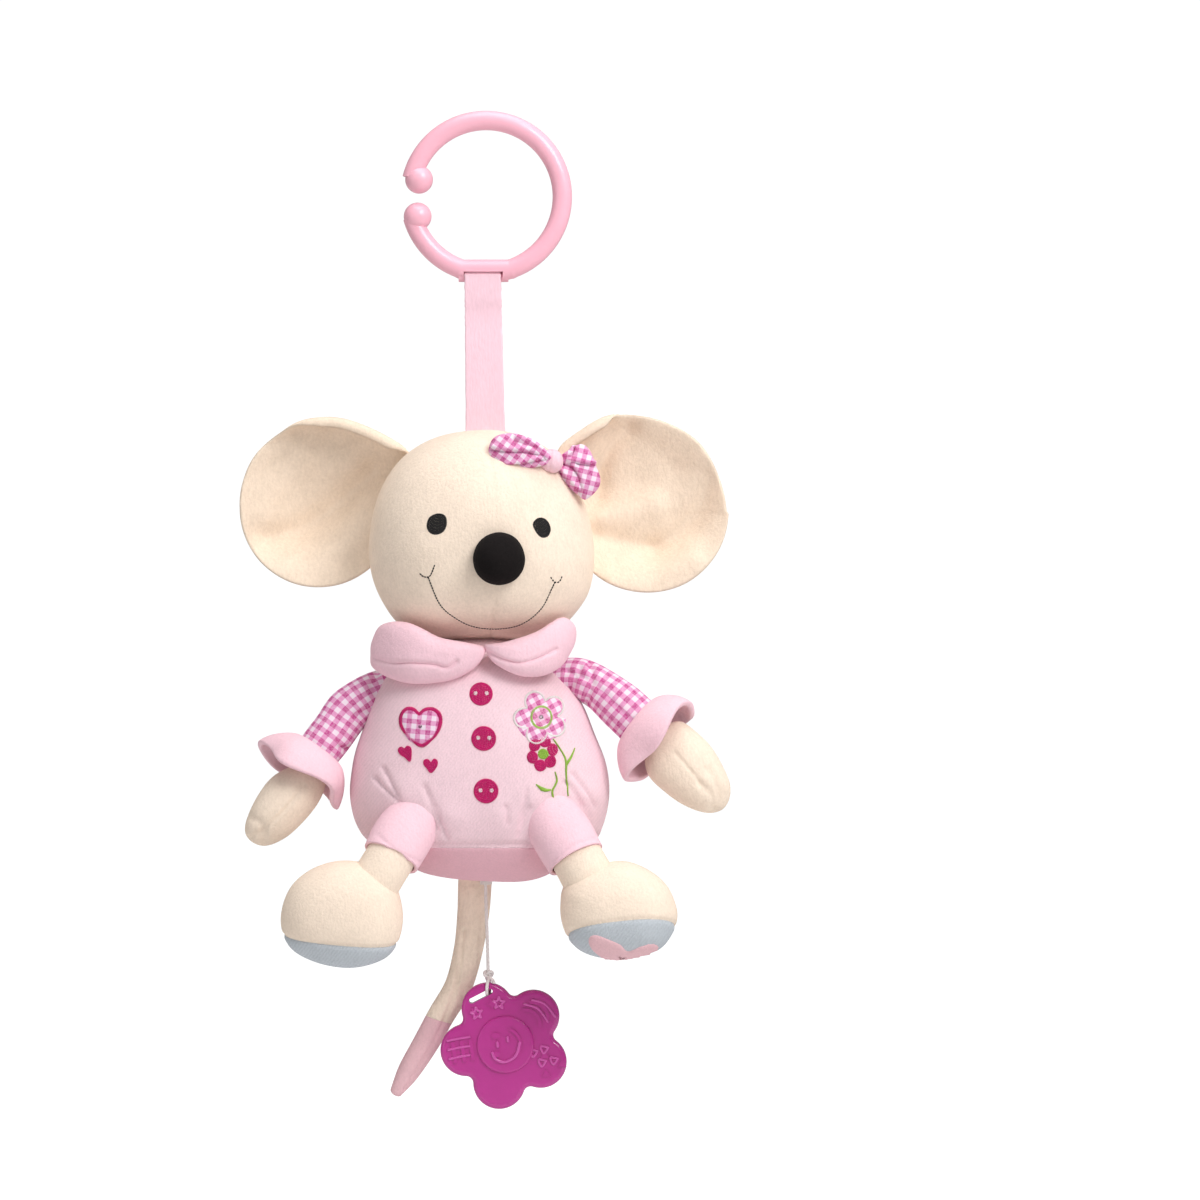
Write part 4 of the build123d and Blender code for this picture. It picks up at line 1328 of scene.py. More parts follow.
class MOUSE_OT_torso(bpy.types.Operator):
    """The stuffed velour body: front, back and the panel under it"""

    bl_idname = "mouse.torso"
    bl_label = "Body"

    def execute(self, context):
        sizes, colours = context.scene.mouse_sizes, context.scene.mouse_colours
        velour = plush("Body velour", colours.velour, 0.8, 1.0, 900.0, rows=0.22, mottle=0.25, relief=0.6)
        rose = plush("Base velour", colours.rose, 0.8, 1.0, 900.0, mottle=0.25, relief=0.6)
        co, faces = torso_form()
        seam = (0.0, 0.0, BASE_SEAM)
        side = (0.0, TORSO_DEPTH, 0.0)
        up, down, near, far = (0, 0, 1), (0, 0, -1), (0, -1, 0), (0, 1, 0)
        for name, planes, cloth, slot, node in (
            ("body_front", [(seam, down), (side, far)], velour, "pink_velour", "torso_front"),
            ("body_back", [(seam, down), (side, near)], velour, "pink_velour", "torso_back"),
            ("body_base", [(seam, up)], rose, "dusky_velour", "base_panel"),
        ):
            shell = thicken(piece(name, *cut(co, faces, planes, False), cloth), 1.2)
            settle(shell)
            stand_for(shell, "torso", slot, node, fill=sizes.fullness)
        return {"FINISHED"}


def wrap_round_neck(co, depth_at_middle, half_width, middle=-4.0):
    """Bends a flat form round the neck, so that its ends go back."""
    share = np.clip(np.abs(co[:, 0] - middle) / half_width, 0, 0.985)
    back = depth_at_middle * (1 - np.sqrt(1 - share**2))
    bent = co.copy()
    bent[:, 1] += back
    return bent


class MOUSE_OT_collar(bpy.types.Operator):
    """The two rolled lobes of the collar"""

    bl_idname = "mouse.collar"
    bl_label = "Collar"

    def execute(self, context):
        colours = context.scene.mouse_colours
        pink = plush("Pink plush", colours.pink, 0.82, 1.0, 700.0, mottle=0.3)
        left = [
            (-66.1, -293.7), (-65.0, -301.0), (-54.9, -306.6), (-38.1, -309.7), (-20.2, -308.0),
            (-7.8, -302.1), (-1.1, -294.3), (-1.1, -289.3), (-9.0, -287.0), (-25.8, -283.8),
            (-45.4, -275.5), (-59.4, -277.0), (-65.0, -285.9),
        ]
        right = [
            (-1.1, -288.1), (2.2, -296.0), (9.5, -301.6), (19.6, -304.9), (33.0, -304.9),
            (42.0, -300.4), (47.0, -293.7), (50.4, -285.3), (49.3, -276.8), (41.4, -272.9),
            (27.4, -280.8), (13.4, -285.8), (3.4, -287.6),
        ]
        topstitch = (
            [
                (-63.8, -296.5), (-52.6, -298.8), (-41.4, -298.5), (-29.1, -299.3), (-21.8, -301.0),
                (-16.8, -297.6),
            ],
            [
                (1.1, -292.6), (9.5, -296.5), (19.0, -298.2), (28.6, -295.7), (39.2, -290.9),
            ],
        )
        for name, line, middle, seam, bump, node in (
            ("collar_lobe_left", left, (-32.0, -293.5), topstitch[0], (-45.0, -303.0), "collar_left"),
            ("collar_lobe_right", right, (25.0, -292.0), topstitch[1], (24.0, -301.0), "collar_right"),
        ):
            co, faces = stuffed(line, middle, -42.0, 9.0, 9.0, crown=2.3, cuts=44)
            co = crease(co, faces, [seam], 1.2, 1.7)
            co = swellings(co, faces, [(*bump, 12.0, 1.4)])
            co = wrap_round_neck(lumps(co, faces, 7.0, 0.5, 21), 52.0, 72.0)
            lobe = piece(name, co, faces, pink)
            stand_for(lobe, "torso", "pink_plush", node, fill=0.4)
        return {"FINISHED"}


def frill(start, way, radii, advance, waves, height, phase, squash=0.8):
    """A gathered cuff that flares from the end of a sleeve."""
    way = np.array(way, float) / np.linalg.norm(way)
    behind = np.array((0.0, 1.0, 0.0)) - way * way[1]
    behind /= np.linalg.norm(behind)
    beside = np.cross(behind, way)
    rings, around = 14, 132
    share = np.linspace(0, 1, rings)[:, None]
    turn = np.arange(around)[None, :] / around * math.tau
    spread = radii[0] + (radii[1] - radii[0]) * np.sin(share * math.pi / 2) ** 0.7
    ripple = np.sin(waves * turn + phase) + 0.5 * np.sin((waves + 2) * turn + 2 * phase)
    spread = spread + ripple * height * 0.75 * share**1.4
    forward = advance * share**1.15 - np.cos(waves * turn + phase * 0.6) * height * 0.8 * share**2
    co = (
        np.array(start)
        + way * forward[:, :, None]
        + (beside * np.cos(turn)[:, :, None] + behind * squash * np.sin(turn)[:, :, None])
        * spread[:, :, None]
    )
    faces = rows_to_faces(rings, around)
    co = co.reshape(-1, 3)
    centre = np.array(start)
    outward = ((co - centre) * normals_of(co, faces)).sum()
    if outward < 0:
        faces = [f[::-1] for f in faces]
    return co, faces


class MOUSE_OT_arms(bpy.types.Operator):
    """Gingham sleeves, frilled cuffs and plush hands"""

    bl_idname = "mouse.arms"
    bl_label = "Arms"

    def execute(self, context):
        sizes, colours = context.scene.mouse_sizes, context.scene.mouse_colours
        cotton = gingham(colours, sizes)
        pink = plush("Pink plush", colours.pink)
        cream = plush("Hand plush", colours.cream, 0.74, 1.03, 640.0, mottle=0.4)
        ruffle = sizes.ruffle / MM
        sleeves = {
            "left": (
                [
                    (-44, 0, -311, 10, 9), (-59, -2, -313, 11, 9), (-74.5, -5, -323, 12.6, 10),
                    (-85, -8, -336.3, 12.6, 10), (-96.5, -11, -352, 12.0, 9.5),
                ],
                [[
                    (-57.1, -307.2), (-70.6, -318.9), (-84.6, -334.6), (-99.1, -353.1),
                ]],
                [[
                    (-60.5, -303.2), (-63.8, -310.0), (-61.6, -315.6),
                ], [
                    (-75.0, -348.0), (-81.8, -345.8),
                ], [
                    (-67.2, -325.6), (-72.8, -327.9),
                ]],
            ),
            "right": (
                [
                    (33, 0, -307, 9, 9), (44, -2, -306, 10.5, 9), (54, -5, -307.5, 11.6, 9.5),
                    (65, -8, -313.5, 12.2, 10), (77, -11, -323.5, 13.4, 10),
                    (88.5, -13, -334, 14, 9.5),
                ],
                [[
                    (59.9, -309.4), (67.2, -315.6), (76.2, -325.6), (88.5, -336.3),
                ]],
                [[
                    (58.2, -298.2), (59.4, -307.7), (56.0, -320.0),
                ], [
                    (52.6, -301.0), (49.3, -307.7), (45.9, -313.3),
                ], [
                    (45.9, -303.2), (52.6, -305.5), (58.2, -307.7),
                ]],
            ),
        }
        for side, (knots, seam, folds) in sleeves.items():
            co, faces, uv = bag(knots, 64, 110, ends=(True, False), check=sizes.check / MM)
            co = crease(co, faces, seam, 0.8, 1.0)
            co = crease(co, faces, folds, 1.8, 1.9)
            co = lumps(co, faces, 6.0, 0.7, 31)
            sleeve = piece(f"gingham_sleeve_{side}", co, faces, cotton, uv)
            root = np.array(knots[1][:3]) * MM
            out = np.array(knots[2][:3]) * MM
            bend = ("torso", f"arm_{side}", tuple(root), tuple(out))
            stand_for(sleeve, None, "gingham", f"sleeve_{side}", fill=0.5, bend=bend)
        frills = (
            ("left", (-92.5, -11.0, -346.0), (-0.58, -0.22, -0.80), (12.6, 27.5), 19.0, 3, 0.4),
            ("right", (84.0, -13.0, -330.0), (0.78, -0.22, -0.62), (14.0, 28.0), 20.0, 3, 1.9),
        )
        for side, start, way, radii, advance, waves, phase in frills:
            co, faces = frill(start, way, radii, advance, waves, ruffle, phase)
            cuff = thicken(piece(f"frill_{side}", co, faces, pink), 3.4, 1)
            stand_for(cuff, f"arm_{side}", "pink_plush", f"cuff_{side}")
        left = [
            (-104.2, -354.8), (-118.2, -360.9), (-127.7, -372.1), (-134.4, -387.2),
            (-133.3, -396.2), (-124.3, -400.7), (-112.6, -396.2), (-101.4, -386.1), (-93.0, -374.9),
            (-89.6, -363.7), (-94.1, -355.9),
        ]
        right = [
            (107.5, -331.2), (115.4, -335.2), (126.6, -345.8), (135.0, -360.9), (136.9, -371.0),
            (133.3, -379.4), (125.4, -382.2), (114.2, -379.4), (101.9, -372.1), (90.7, -360.9),
            (89.6, -346.9), (97.4, -335.7),
        ]
        hands = (
            ("left", left, (-113.0, -375.0), -13.0, [[
                (-102.5, -366.5), (-110.9, -378.3), (-122.1, -389.5), (-132.2, -396.2),
            ], [
                (-131.0, -385.0), (-125.4, -389.5), (-124.3, -399.0),
            ]]),
            ("right", right, (113.5, -358.0), -15.0, [[
                (105.3, -348.0), (114.2, -358.1), (121.0, -367.1),
            ], [
                (119.8, -366.0), (126.6, -372.7), (127.7, -379.4),
            ], [
                (124.9, -358.1), (129.4, -367.1), (129.9, -374.9), (126.6, -378.3),
            ]]),
        )
        for side, line, middle, depth, seams in hands:
            co, faces = stuffed(line, middle, depth, 15.0, 14.0, crown=2.1, cuts=40)
            co = crease(co, faces, seams[:1], 0.9, 0.9)
            co = crease(co, faces, seams[1:], 2.4, 1.1)
            co = lumps(co, faces, 12.0, 0.5, 33)
            hand = piece(f"mitt_{side}", co, faces, cream)
            stand_for(hand, f"arm_{side}", "cream_plush", f"hand_{side}", fill=sizes.fullness)
        return {"FINISHED"}


class MOUSE_OT_legs(bpy.types.Operator):
    """Trouser ends, plush legs, feet with velour soles and the heart on one"""

    bl_idname = "mouse.legs"
    bl_label = "Legs and feet"

    def execute(self, context):
        sizes, colours = context.scene.mouse_sizes, context.scene.mouse_colours
        pink = plush("Pink plush", colours.pink)
        cream = plush("Leg plush", colours.cream, 0.76, 1.02, 760.0, mottle=0.25)
        grey = plush("Sole velour", colours.grey, 0.8, 1.0, 900.0, rows=0.3, mottle=0.35)
        legs = {
            "left": (
                [
                    (-34, -28, -374, 14, 13), (-38, -34, -383, 15.6, 14.5),
                    (-46, -42, -395, 16.6, 15.5), (-51, -47, -404.5, 16.0, 15),
                ],
                [
                    (-44, -42, -392, 13, 12), (-50, -47, -402, 13.6, 12.5),
                    (-58, -50, -415, 13.8, 12.5), (-64, -48, -425, 14, 13),
                ],
                [[
                    (-61.0, -394.5), (-50.4, -402.9), (-34.7, -410.8),
                ]],
            ),
            "right": (
                [
                    (32, -28, -374, 14, 13), (36, -34, -382, 15.6, 14.5),
                    (44, -42, -394, 17.0, 15.5), (50.5, -47, -405.5, 16.4, 15),
                ],
                [
                    (44, -42, -392, 13.5, 12), (51, -47, -404, 14.2, 12.5),
                    (57, -49, -415, 14.6, 13), (62, -47, -424, 15, 13),
                ],
                [[
                    (37.5, -409.6), (49.8, -400.1), (66.1, -395.1),
                ]],
            ),
        }
        for side, (trouser_knots, leg_knots, hems) in legs.items():
            co, faces, _ = bag(trouser_knots, 64, 46, ends=(False, False))
            co = crease(co, faces, hems, 0.8, 0.6)
            trouser = thicken(piece(f"trouser_end_{side}", lumps(co, faces, 8.0, 0.5, 41), faces, pink), 1.8)
            settle(trouser)
            first, out = (tuple(np.array(trouser_knots[k][:3]) * MM) for k in (0, 2))
            bend = ("torso", f"leg_{side}", first, out)
            stand_for(trouser, None, "pink_plush", f"trouser_{side}", fill=0.4, bend=bend)
            co, faces, _ = bag(leg_knots, 56, 40)
            leg = piece(f"plush_leg_{side}", lumps(co, faces, 8.0, 0.5, 42), faces, cream)
            stand_for(leg, f"leg_{side}", "cream_plush", f"leg_{side}", fill=sizes.fullness)
        left = [
            (-114.8, -444.9), (-113.1, -430.9), (-106.4, -419.7), (-94.1, -411.9), (-79.0, -409.1),
            (-62.2, -412.4), (-51.0, -422.0), (-46.5, -436.5), (-47.6, -450.5), (-53.8, -461.7),
            (-65.0, -467.3), (-79.0, -469.0), (-95.8, -465.6), (-109.2, -457.8),
        ]
        right = [
            (41.7, -433.2), (43.7, -423.1), (53.2, -414.1), (68.3, -409.6), (80.1, -409.6),
            (92.4, -415.0), (101.4, -423.1), (106.1, -433.2), (107.0, -441.0), (104.2, -449.4),
            (97.4, -457.8), (86.2, -462.0), (73.9, -463.7), (62.2, -462.6), (52.6, -458.9),
            (45.9, -452.2), (42.3, -442.7),
        ]
        feet = (
            ("left", left, (-81.0, -436.0), -46.0, (-82.0, -46.0, -448.5), (-0.09, 0.10, -1.0)),
            ("right", right, (75.0, -438.0), -46.0, (72.0, -46.0, -446.0), (0.10, -0.32, -1.0)),
        )
        for side, line, middle, depth, at, down in feet:
            co, faces = stuffed(line, middle, depth, 27.0, 32.0, crown=2.3, cuts=52)
            way = np.array(down) / np.linalg.norm(down)
            under = (co - np.array(at)) @ way
            near_seam = np.exp(-((under / 1.1) ** 2))
            co = co - normals_of(co, faces) * (1.1 * near_seam)[:, None]
            co = lumps(co, faces, 13.0, 0.8, 44)
            for name, planes, cloth, slot, node in (
                (f"foot_bag_{side}", [(at, tuple(way))], cream, "cream_plush", f"foot_{side}"),
                (f"sole_pad_{side}", [(at, tuple(-way))], grey, "grey_velour", f"sole_{side}"),
            ):
                part = piece(name, *cut(co, faces, planes, True), cloth)
                stand_for(part, f"leg_{side}", slot, node, fill=sizes.fullness)
            tree = landing(co, faces)
        heart = [
            (79.8, -459.5), (75.0, -455.6), (67.2, -452.2), (61.0, -450.0), (57.1, -451.1),
            (56.6, -455.0), (59.4, -459.5), (65.0, -464.0), (76.2, -472.9), (86.2, -469.0),
            (95.2, -461.7), (98.0, -457.2), (94.6, -455.0), (88.5, -456.1),
        ]
        blush = plush("Tail plush", colours.blush, 0.8, 1.0, 800.0)
        sewn = patch("heart_pad", tree, heart, (76.0, -463.0), 0.9, blush)
        stand_for(sewn, "leg_right", "pink_plush", "sole_heart")
        return {"FINISHED"}


class MOUSE_OT_tail(bpy.types.Operator):
    """The plush tail and its pink tip"""

    bl_idname = "mouse.tail"
    bl_label = "Tail"

    def execute(self, context):
        sizes, colours = context.scene.mouse_sizes, context.scene.mouse_colours
        cream = plush("Tail cream", colours.cream, 0.66, 1.04, 520.0, mottle=0.6, relief=1.3)
        blush = plush("Tail plush", colours.blush)
        knots = [
            (-6, 12, -408, 9, 8), (-7, 13, -424, 9.4, 8), (-8, 14.5, -440, 9.2, 8),
            (-10.5, 14.5, -460, 8.2, 7.5), (-16, 14.5, -480, 7.8, 7), (-26, 14.5, -497, 7.6, 6.8),
            (-35, 14.5, -514, 7.4, 6.4), (-44, 14.5, -529, 6.4, 5.6), (-51, 14.5, -540, 3.5, 3.2),
        ]
        seam = [[
            (-12.3, -447.7), (-15.7, -472.9), (-21.3, -492.5), (-30.2, -512.1), (-45.4, -537.3),
        ]]
        co, faces, _ = bag(knots, 56, 150)
        co = crease(co, faces, seam, 1.0, 1.1)
        co = lumps(co, faces, 7.0, 0.9, 51)
        at, way = (-27.4, 14.5, -499.0), (-0.3, 0.0, -0.95)
        back = tuple(-v for v in way)
        main = piece("tail_bag", *cut(co, faces, [(at, way)], True), cream)
        bend = ("torso", "tail", (-0.008, 0.0145, -0.424), (-0.009, 0.0145, -0.444))
        stand_for(main, None, "cream_plush", "tail", fill=sizes.fullness, bend=bend)
        tip = piece("tail_end", *cut(co, faces, [(at, back)], True), blush)
        stand_for(tip, "tail", "pink_plush", "tail_tip", fill=sizes.fullness)
        return {"FINISHED"}


class MOUSE_OT_cord(bpy.types.Operator):
    """The pull cord, its knot and the loop through the handle"""

    bl_idname = "mouse.cord"
    bl_label = "Pull cord"

    def execute(self, context):
        sizes, colours = context.scene.mouse_sizes, context.scene.mouse_colours
        white = yarn("White cord", colours.white, 1500.0, 0.82, (1.0, 1.0, 0.6), rough=0.7, relief=0.4)
        route = [
            (0, 0, -0.372), (0, 0, -0.392), (-0.0004, 0, -0.416), (0.0, 0, -0.436),
            (0.0008, 0, -0.454), (0.0012, 0, -0.4718),
        ]
        curve = bpy.data.curves.new("cord_route", "CURVE")
        curve.dimensions = "3D"
        spline = curve.splines.new("NURBS")
        spline.points.add(len(route) - 1)
        for point, place in zip(spline.points, route):
            point.co = (*place, 1.0)
        spline.order_u = 3
        spline.use_endpoint_u = True
        spline.resolution_u = 12
        guide = bpy.data.objects.new("cord_route", curve)
        bpy.context.scene.collection.objects.link(guide)
        graph = bpy.context.evaluated_depsgraph_get()
        line = bpy.data.meshes.new_from_object(guide.evaluated_get(graph))
        path = np.array([v.co for v in line.vertices])
        bpy.data.objects.remove(guide)
        half = sizes.cord / 2 / MM
        knots = [(*p, half, half) for p in path / MM]
        co, faces, _ = bag(knots, 14, 240)
        turn = np.arctan2(co[:, 1], co[:, 0])
        ply = np.sin(2 * turn + co[:, 2] * 2.6)
        co = co + normals_of(co, faces) * (0.09 * ply)[:, None]
        cord = piece("cord", co, faces, white)
        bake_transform(cord)
        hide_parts("pull_cord")
        t = np.linspace(0, math.tau, 90, endpoint=False)
        tangle = np.stack(
            [
                (np.sin(t) + 2 * np.sin(2 * t)) * 0.8,
                np.sin(3 * t) * 1.1,
                (np.cos(t) - 2 * np.cos(2 * t)) * 0.95,
            ],
            1,
        ) + (1.3, 0, -473.0)
        tangle = np.vstack([tangle, tangle[:4]])
        co, faces, _ = bag([(*p, half, half) for p in tangle], 12, 260)
        knot = piece("cord_tie", co, faces, white)
        loop = [
            (1.6, -0.6, -474), (1.0, -4.6, -476.5), (0.6, -5.6, -480), (0.6, -3.0, -483.4),
            (1.2, 0, -484.0), (1.8, 3.0, -483.4), (2.0, 5.6, -480), (1.8, 4.6, -476.5),
            (1.2, 0.6, -474),
        ]
        co, faces, _ = bag([(*p, half, half) for p in loop], 12, 90)
        strand = piece("cord_loop", co, faces, white)
        tail = [(1.6, -1.0, -474), (3.6, -2.4, -475.5), (4.6, -3.2, -477.0)]
        co, faces, _ = bag([(*p, half, half) for p in tail], 12, 20)
        end = piece("cord_end", co, faces, white)
        for obj in (knot, strand, end):
            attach(obj, "pull")
            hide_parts("cord_knot")
        return {"FINISHED"}


class MOUSE_OT_handle(bpy.types.Operator):
    """The moulded flower handle; its relief marks are made lighter as painted highlight"""

    bl_idname = "mouse.handle"
    bl_label = "Flower handle"

    def execute(self, context):
        colours = context.scene.mouse_colours
        plastic = moulded("Flower plastic", colours.flower, rough=0.26, shade=0.88, coat=0.5)
        put_finish("flower_pull", plastic)
        # Painted highlight: the relief marks are the handle's own plastic, made lighter to stand in for the
        # light they catch.
        painted_highlight_plastic = moulded("Flower relief highlight", colours.relief, rough=0.24, shade=0.92, coat=0.5)

        def corners(x, z, points, far, near, turn):
            angle = turn + np.arange(points + 1) / points * math.tau
            reach_out = np.where(np.arange(points + 1) % 2, near, far)
            return np.stack([x + reach_out * np.cos(angle), z + reach_out * np.sin(angle)], 1)

        lobes = [
            [(-21.8, -509.9), (-15.4, -508.6), (-9.0, -507.6)],
            [(-21.3, -514.9), (-15.2, -513.6), (-9.0, -512.7)],
            [(-20.7, -520.0), (-14.8, -518.7), (-9.0, -517.7)],
            [(21.3, -489.2), (29.1, -491.8), (34.7, -499.2)],
            [(25.6, -486.8), (32.8, -489.2), (38.8, -496.4)],
            corners(7.2, -488.6, 10, 3.4, 1.6, 0.3),
            corners(-5.2, -494.4, 10, 3.4, 1.6, 0.5),
        ]
        for x, z in ((26.6, -516.4), (32.6, -514.4), (31.4, -521.8), (38.0, -520.6)):
            lobes.append(corners(x, z, 3, 2.4, 2.4, 0.4))
        face = [
            [(3.4, -516.4), (5.4, -520.0), (10.6, -521.6), (16.6, -518.0), (18.9, -510.6)],
            [(6.2, -510.6), (6.6, -513.2)],
            [(12.0, -507.6), (12.4, -510.2)],
        ]
        co, faces = np.zeros((0, 3)), []
        for lines, depth, half in ((lobes, -4.2, 0.75), (face, -5.9, 0.9)):
            for line in lines:
                knots = [(x, depth, z, half, half) for x, z in at_depth(line, depth)]
                ridge, ridge_faces, _ = bag(knots, 10, 8 * len(line))
                faces += [tuple(k + len(co) for k in f) for f in ridge_faces]
                co = np.vstack([co, ridge])
        marks = piece("pull_marks", co, faces, painted_highlight_plastic)
        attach(marks, "flower")
        return {"FINISHED"}


class MOUSE_OT_embroidery(bpy.types.Operator):
    """Buttons, hearts, flowers and stems sewn on the body"""

    bl_idname = "mouse.embroidery"
    bl_label = "Embroidery"

    def execute(self, context):
        sizes, colours = context.scene.mouse_sizes, context.scene.mouse_colours
        tree = landing(*torso_form())
        magenta = yarn("Magenta thread", colours.magenta, 1500.0, 0.62, rough=0.42)
        green = yarn("Green thread", colours.green, 1500.0, 0.72, rough=0.45)
        white = yarn("White thread", colours.white, 1500.0, 0.8, rough=0.5)
        rose = yarn("Rose thread", colours.rose, 1500.0, 0.8, rough=0.55)
        cotton = gingham(colours, sizes)
        thread = sizes.thread / MM

        def circle(x, z, wide, high=None, count=16):
            turn = np.arange(count) / count * math.tau
            high = wide if high is None else high
            return np.stack([x + wide * np.cos(turn), z + high * np.sin(turn)], 1)

        red, pale = [], []
        for x, z, radius in ((-2.8, -315.6, 5.9), (-1.3, -340.5, 6.3), (0.0, -369.9, 6.3)):
            red.append(filled(tree, circle(x, z, radius), (0.35, 1.0), 2.6, 0.45))
            red.append(filled(tree, circle(x, z, radius * 0.75), (1.0, 0.4), 1.6, 0.9))
            red.append(satin_border(tree, circle(x, z, radius), 1.5))
            for hole in (-3.1, 3.1):
                pale.append(filled(tree, circle(x + hole, z + 0.3, 1.05, 1.4), (0, 1.0), 2.6, 0.4, 0.0))
        heart = [
            (-36.4, -344.4), (-43.1, -339.1), (-47.3, -333.5), (-47.6, -327.9), (-44.8, -324.2),
            (-40.9, -324.2), (-37.5, -327.0), (-34.2, -324.5), (-29.7, -324.2), (-26.3, -326.8),
            (-25.5, -331.2), (-27.4, -336.8), (-31.4, -341.3),
        ]
        red.append(satin_border(tree, heart, 2.6, 0.4))
        small = [
            [
                (-42.6, -353.1), (-45.4, -350.8), (-47.9, -349.2), (-49.0, -346.9), (-47.6, -345.5),
                (-45.6, -346.4), (-44.2, -345.0), (-42.3, -345.8), (-42.0, -348.6),
            ],
            [
                (-30.8, -359.5), (-33.0, -357.0), (-34.7, -354.8), (-34.4, -352.8), (-32.5, -352.5),
                (-30.8, -354.2), (-29.1, -352.2), (-27.4, -353.4), (-28.0, -356.4),
            ],
        ]
        for line in small:
            red.append(filled(tree, line, (0.25, 1.0), 3.0, 0.42))
            red.append(satin_border(tree, line, 1.0, 0.45))
        for k in range(6):
            turn = math.tau * (k + 0.3) / 6
            way = np.array((math.cos(turn), math.sin(turn)))
            petal = circle(31.6 + way[0] * 5.9, -348.9 + way[1] * 6.9, 3.4, 3.6, 10)
            red.append(filled(tree, petal, way, 3.4, 0.42))
        turn = np.arange(80) / 80 * math.tau
        spread = 8.6 + 6.4 * np.abs(np.cos(2.5 * turn - 1.7)) ** 0.75
        petals = np.stack([30.6 + spread * np.cos(turn), -328.6 + spread * np.sin(turn)], 1)
        pale.append(satin_border(tree, petals, 1.5, 0.4))
        leafy = [
            satin_border(tree, circle(30.8, -328.8, 5.6, 6.0), 2.4, 0.36),
            filled(tree, circle(31.9, -349.2, 3.0, 3.2), (0.2, 1.0), 2.0, 0.42),
        ]
        stems = (
            ([
                (37.5, -340.8), (41.4, -346.4), (44.5, -352.5), (44.8, -360.9), (45.9, -372.7),
            ], (0.8, 1.1, 1.6, 1.1, 0.8)),
            ([
                (38.6, -359.2), (39.6, -364.3), (37.2, -369.6), (37.5, -373.2), (38.6, -376.9),
            ], (0.8, 1.4, 1.3, 1.5, 0.8)),
            ([
                (44.8, -355.3), (47.6, -350.8), (49.6, -345.8),
            ], (2.0, 1.6, 0.5)),
            ([
                (36.4, -369.3), (32.5, -369.3), (28.0, -366.2),
            ], (1.0, 3.0, 0.8)),
        )
        for line, widths in stems:
            leafy.append(satin_border(tree, line, widths, 0.4, closed=False, slant=0.5))
        heart_cloth = patch("heart_cloth", tree, heart, (-36.6, -334.0), 0.7, cotton, turn=0.1)
        stand_for(heart_cloth, "torso", "gingham", "heart_patch")
        flower_cloth = patch("flower_cloth", tree, petals, (30.6, -328.6), 0.6, cotton, turn=-0.5)
        stand_for(flower_cloth, "torso", "gingham", "flower_patch")
        middle = [filled(tree, circle(30.8, -328.8, 4.4, 4.8), (0.3, 1.0), 1.6, 0.6)]
        disc = stitches("flower_centre", middle, rose, thread, 1.7)
        sewn = (
            stitches("magenta_work", red, magenta, thread, 1.3),
            stitches("green_work", leafy, green, thread, 1.9),
            stitches("white_work", pale, white, thread, 1.7),
        )
        for obj, slot, node in (
            (sewn[0], "magenta_thread", "magenta_stitching"),
            (sewn[1], "green_thread", "green_stitching"),
            (sewn[2], "magenta_thread", "magenta_stitching"),
            (disc, "green_thread", "green_stitching"),
        ):
            stand_for(obj, "torso", slot, node)
        return {"FINISHED"}


class MOUSE_OT_movement(bpy.types.Operator):
    """The stuffing and the musical movement inside the body"""

    bl_idname = "mouse.movement"
    bl_label = "Stuffing and movement"

    def execute(self, context):
        fibre = plush("Polyester fibre", srgb(238, 236, 232), 0.8, 1.0, 300.0, mottle=0.6, relief=2.0)
        steel = moulded("Blued steel", srgb(176, 180, 186), 0.3, 0.85, Metallic=1.0)
        brass = moulded("Brass", srgb(206, 170, 96), 0.3, 0.85, Metallic=1.0)
        shell = moulded("White case plastic", srgb(232, 230, 224), 0.45, 0.95)
        cord = yarn("Wound cord", context.scene.mouse_colours.white, 1500.0, 0.82)
        insides = (
            (steel, ("comb", "mainspring", "movement_axles", "case_screws", "comb_screws")),
            (brass, ("music_cylinder", "cylinder_gear", "comb_bedplate", "governor_pinion")),
            (shell, ("music_case", "music_case_lid", "cord_drum", "governor_fan", "cord_grommet")),
            (cord, ("cord_winding",)),
        )
        for material, nodes in insides:
            for node in nodes:
                put_finish(node, material)
        skull = (-3.1, 3.0, -227.6)
        for name, body, node, low, high, share in (
            ("body_filling", "torso", "torso_stuffing", (-21.5, -20.5, -397.5), (25.5, 32.5, -332.5), 0.78),
            ("head_filling", "head", "head_stuffing", skull, skull, 0.84),
        ):
            co, faces = drawn_in(node, low, high, share)
            filling = piece(name, co, faces, fibre)
            filling.data.shade_flat()
            stand_for(filling, body, "stuffing", node, fill=context.scene.mouse_sizes.fullness)
        return {"FINISHED"}


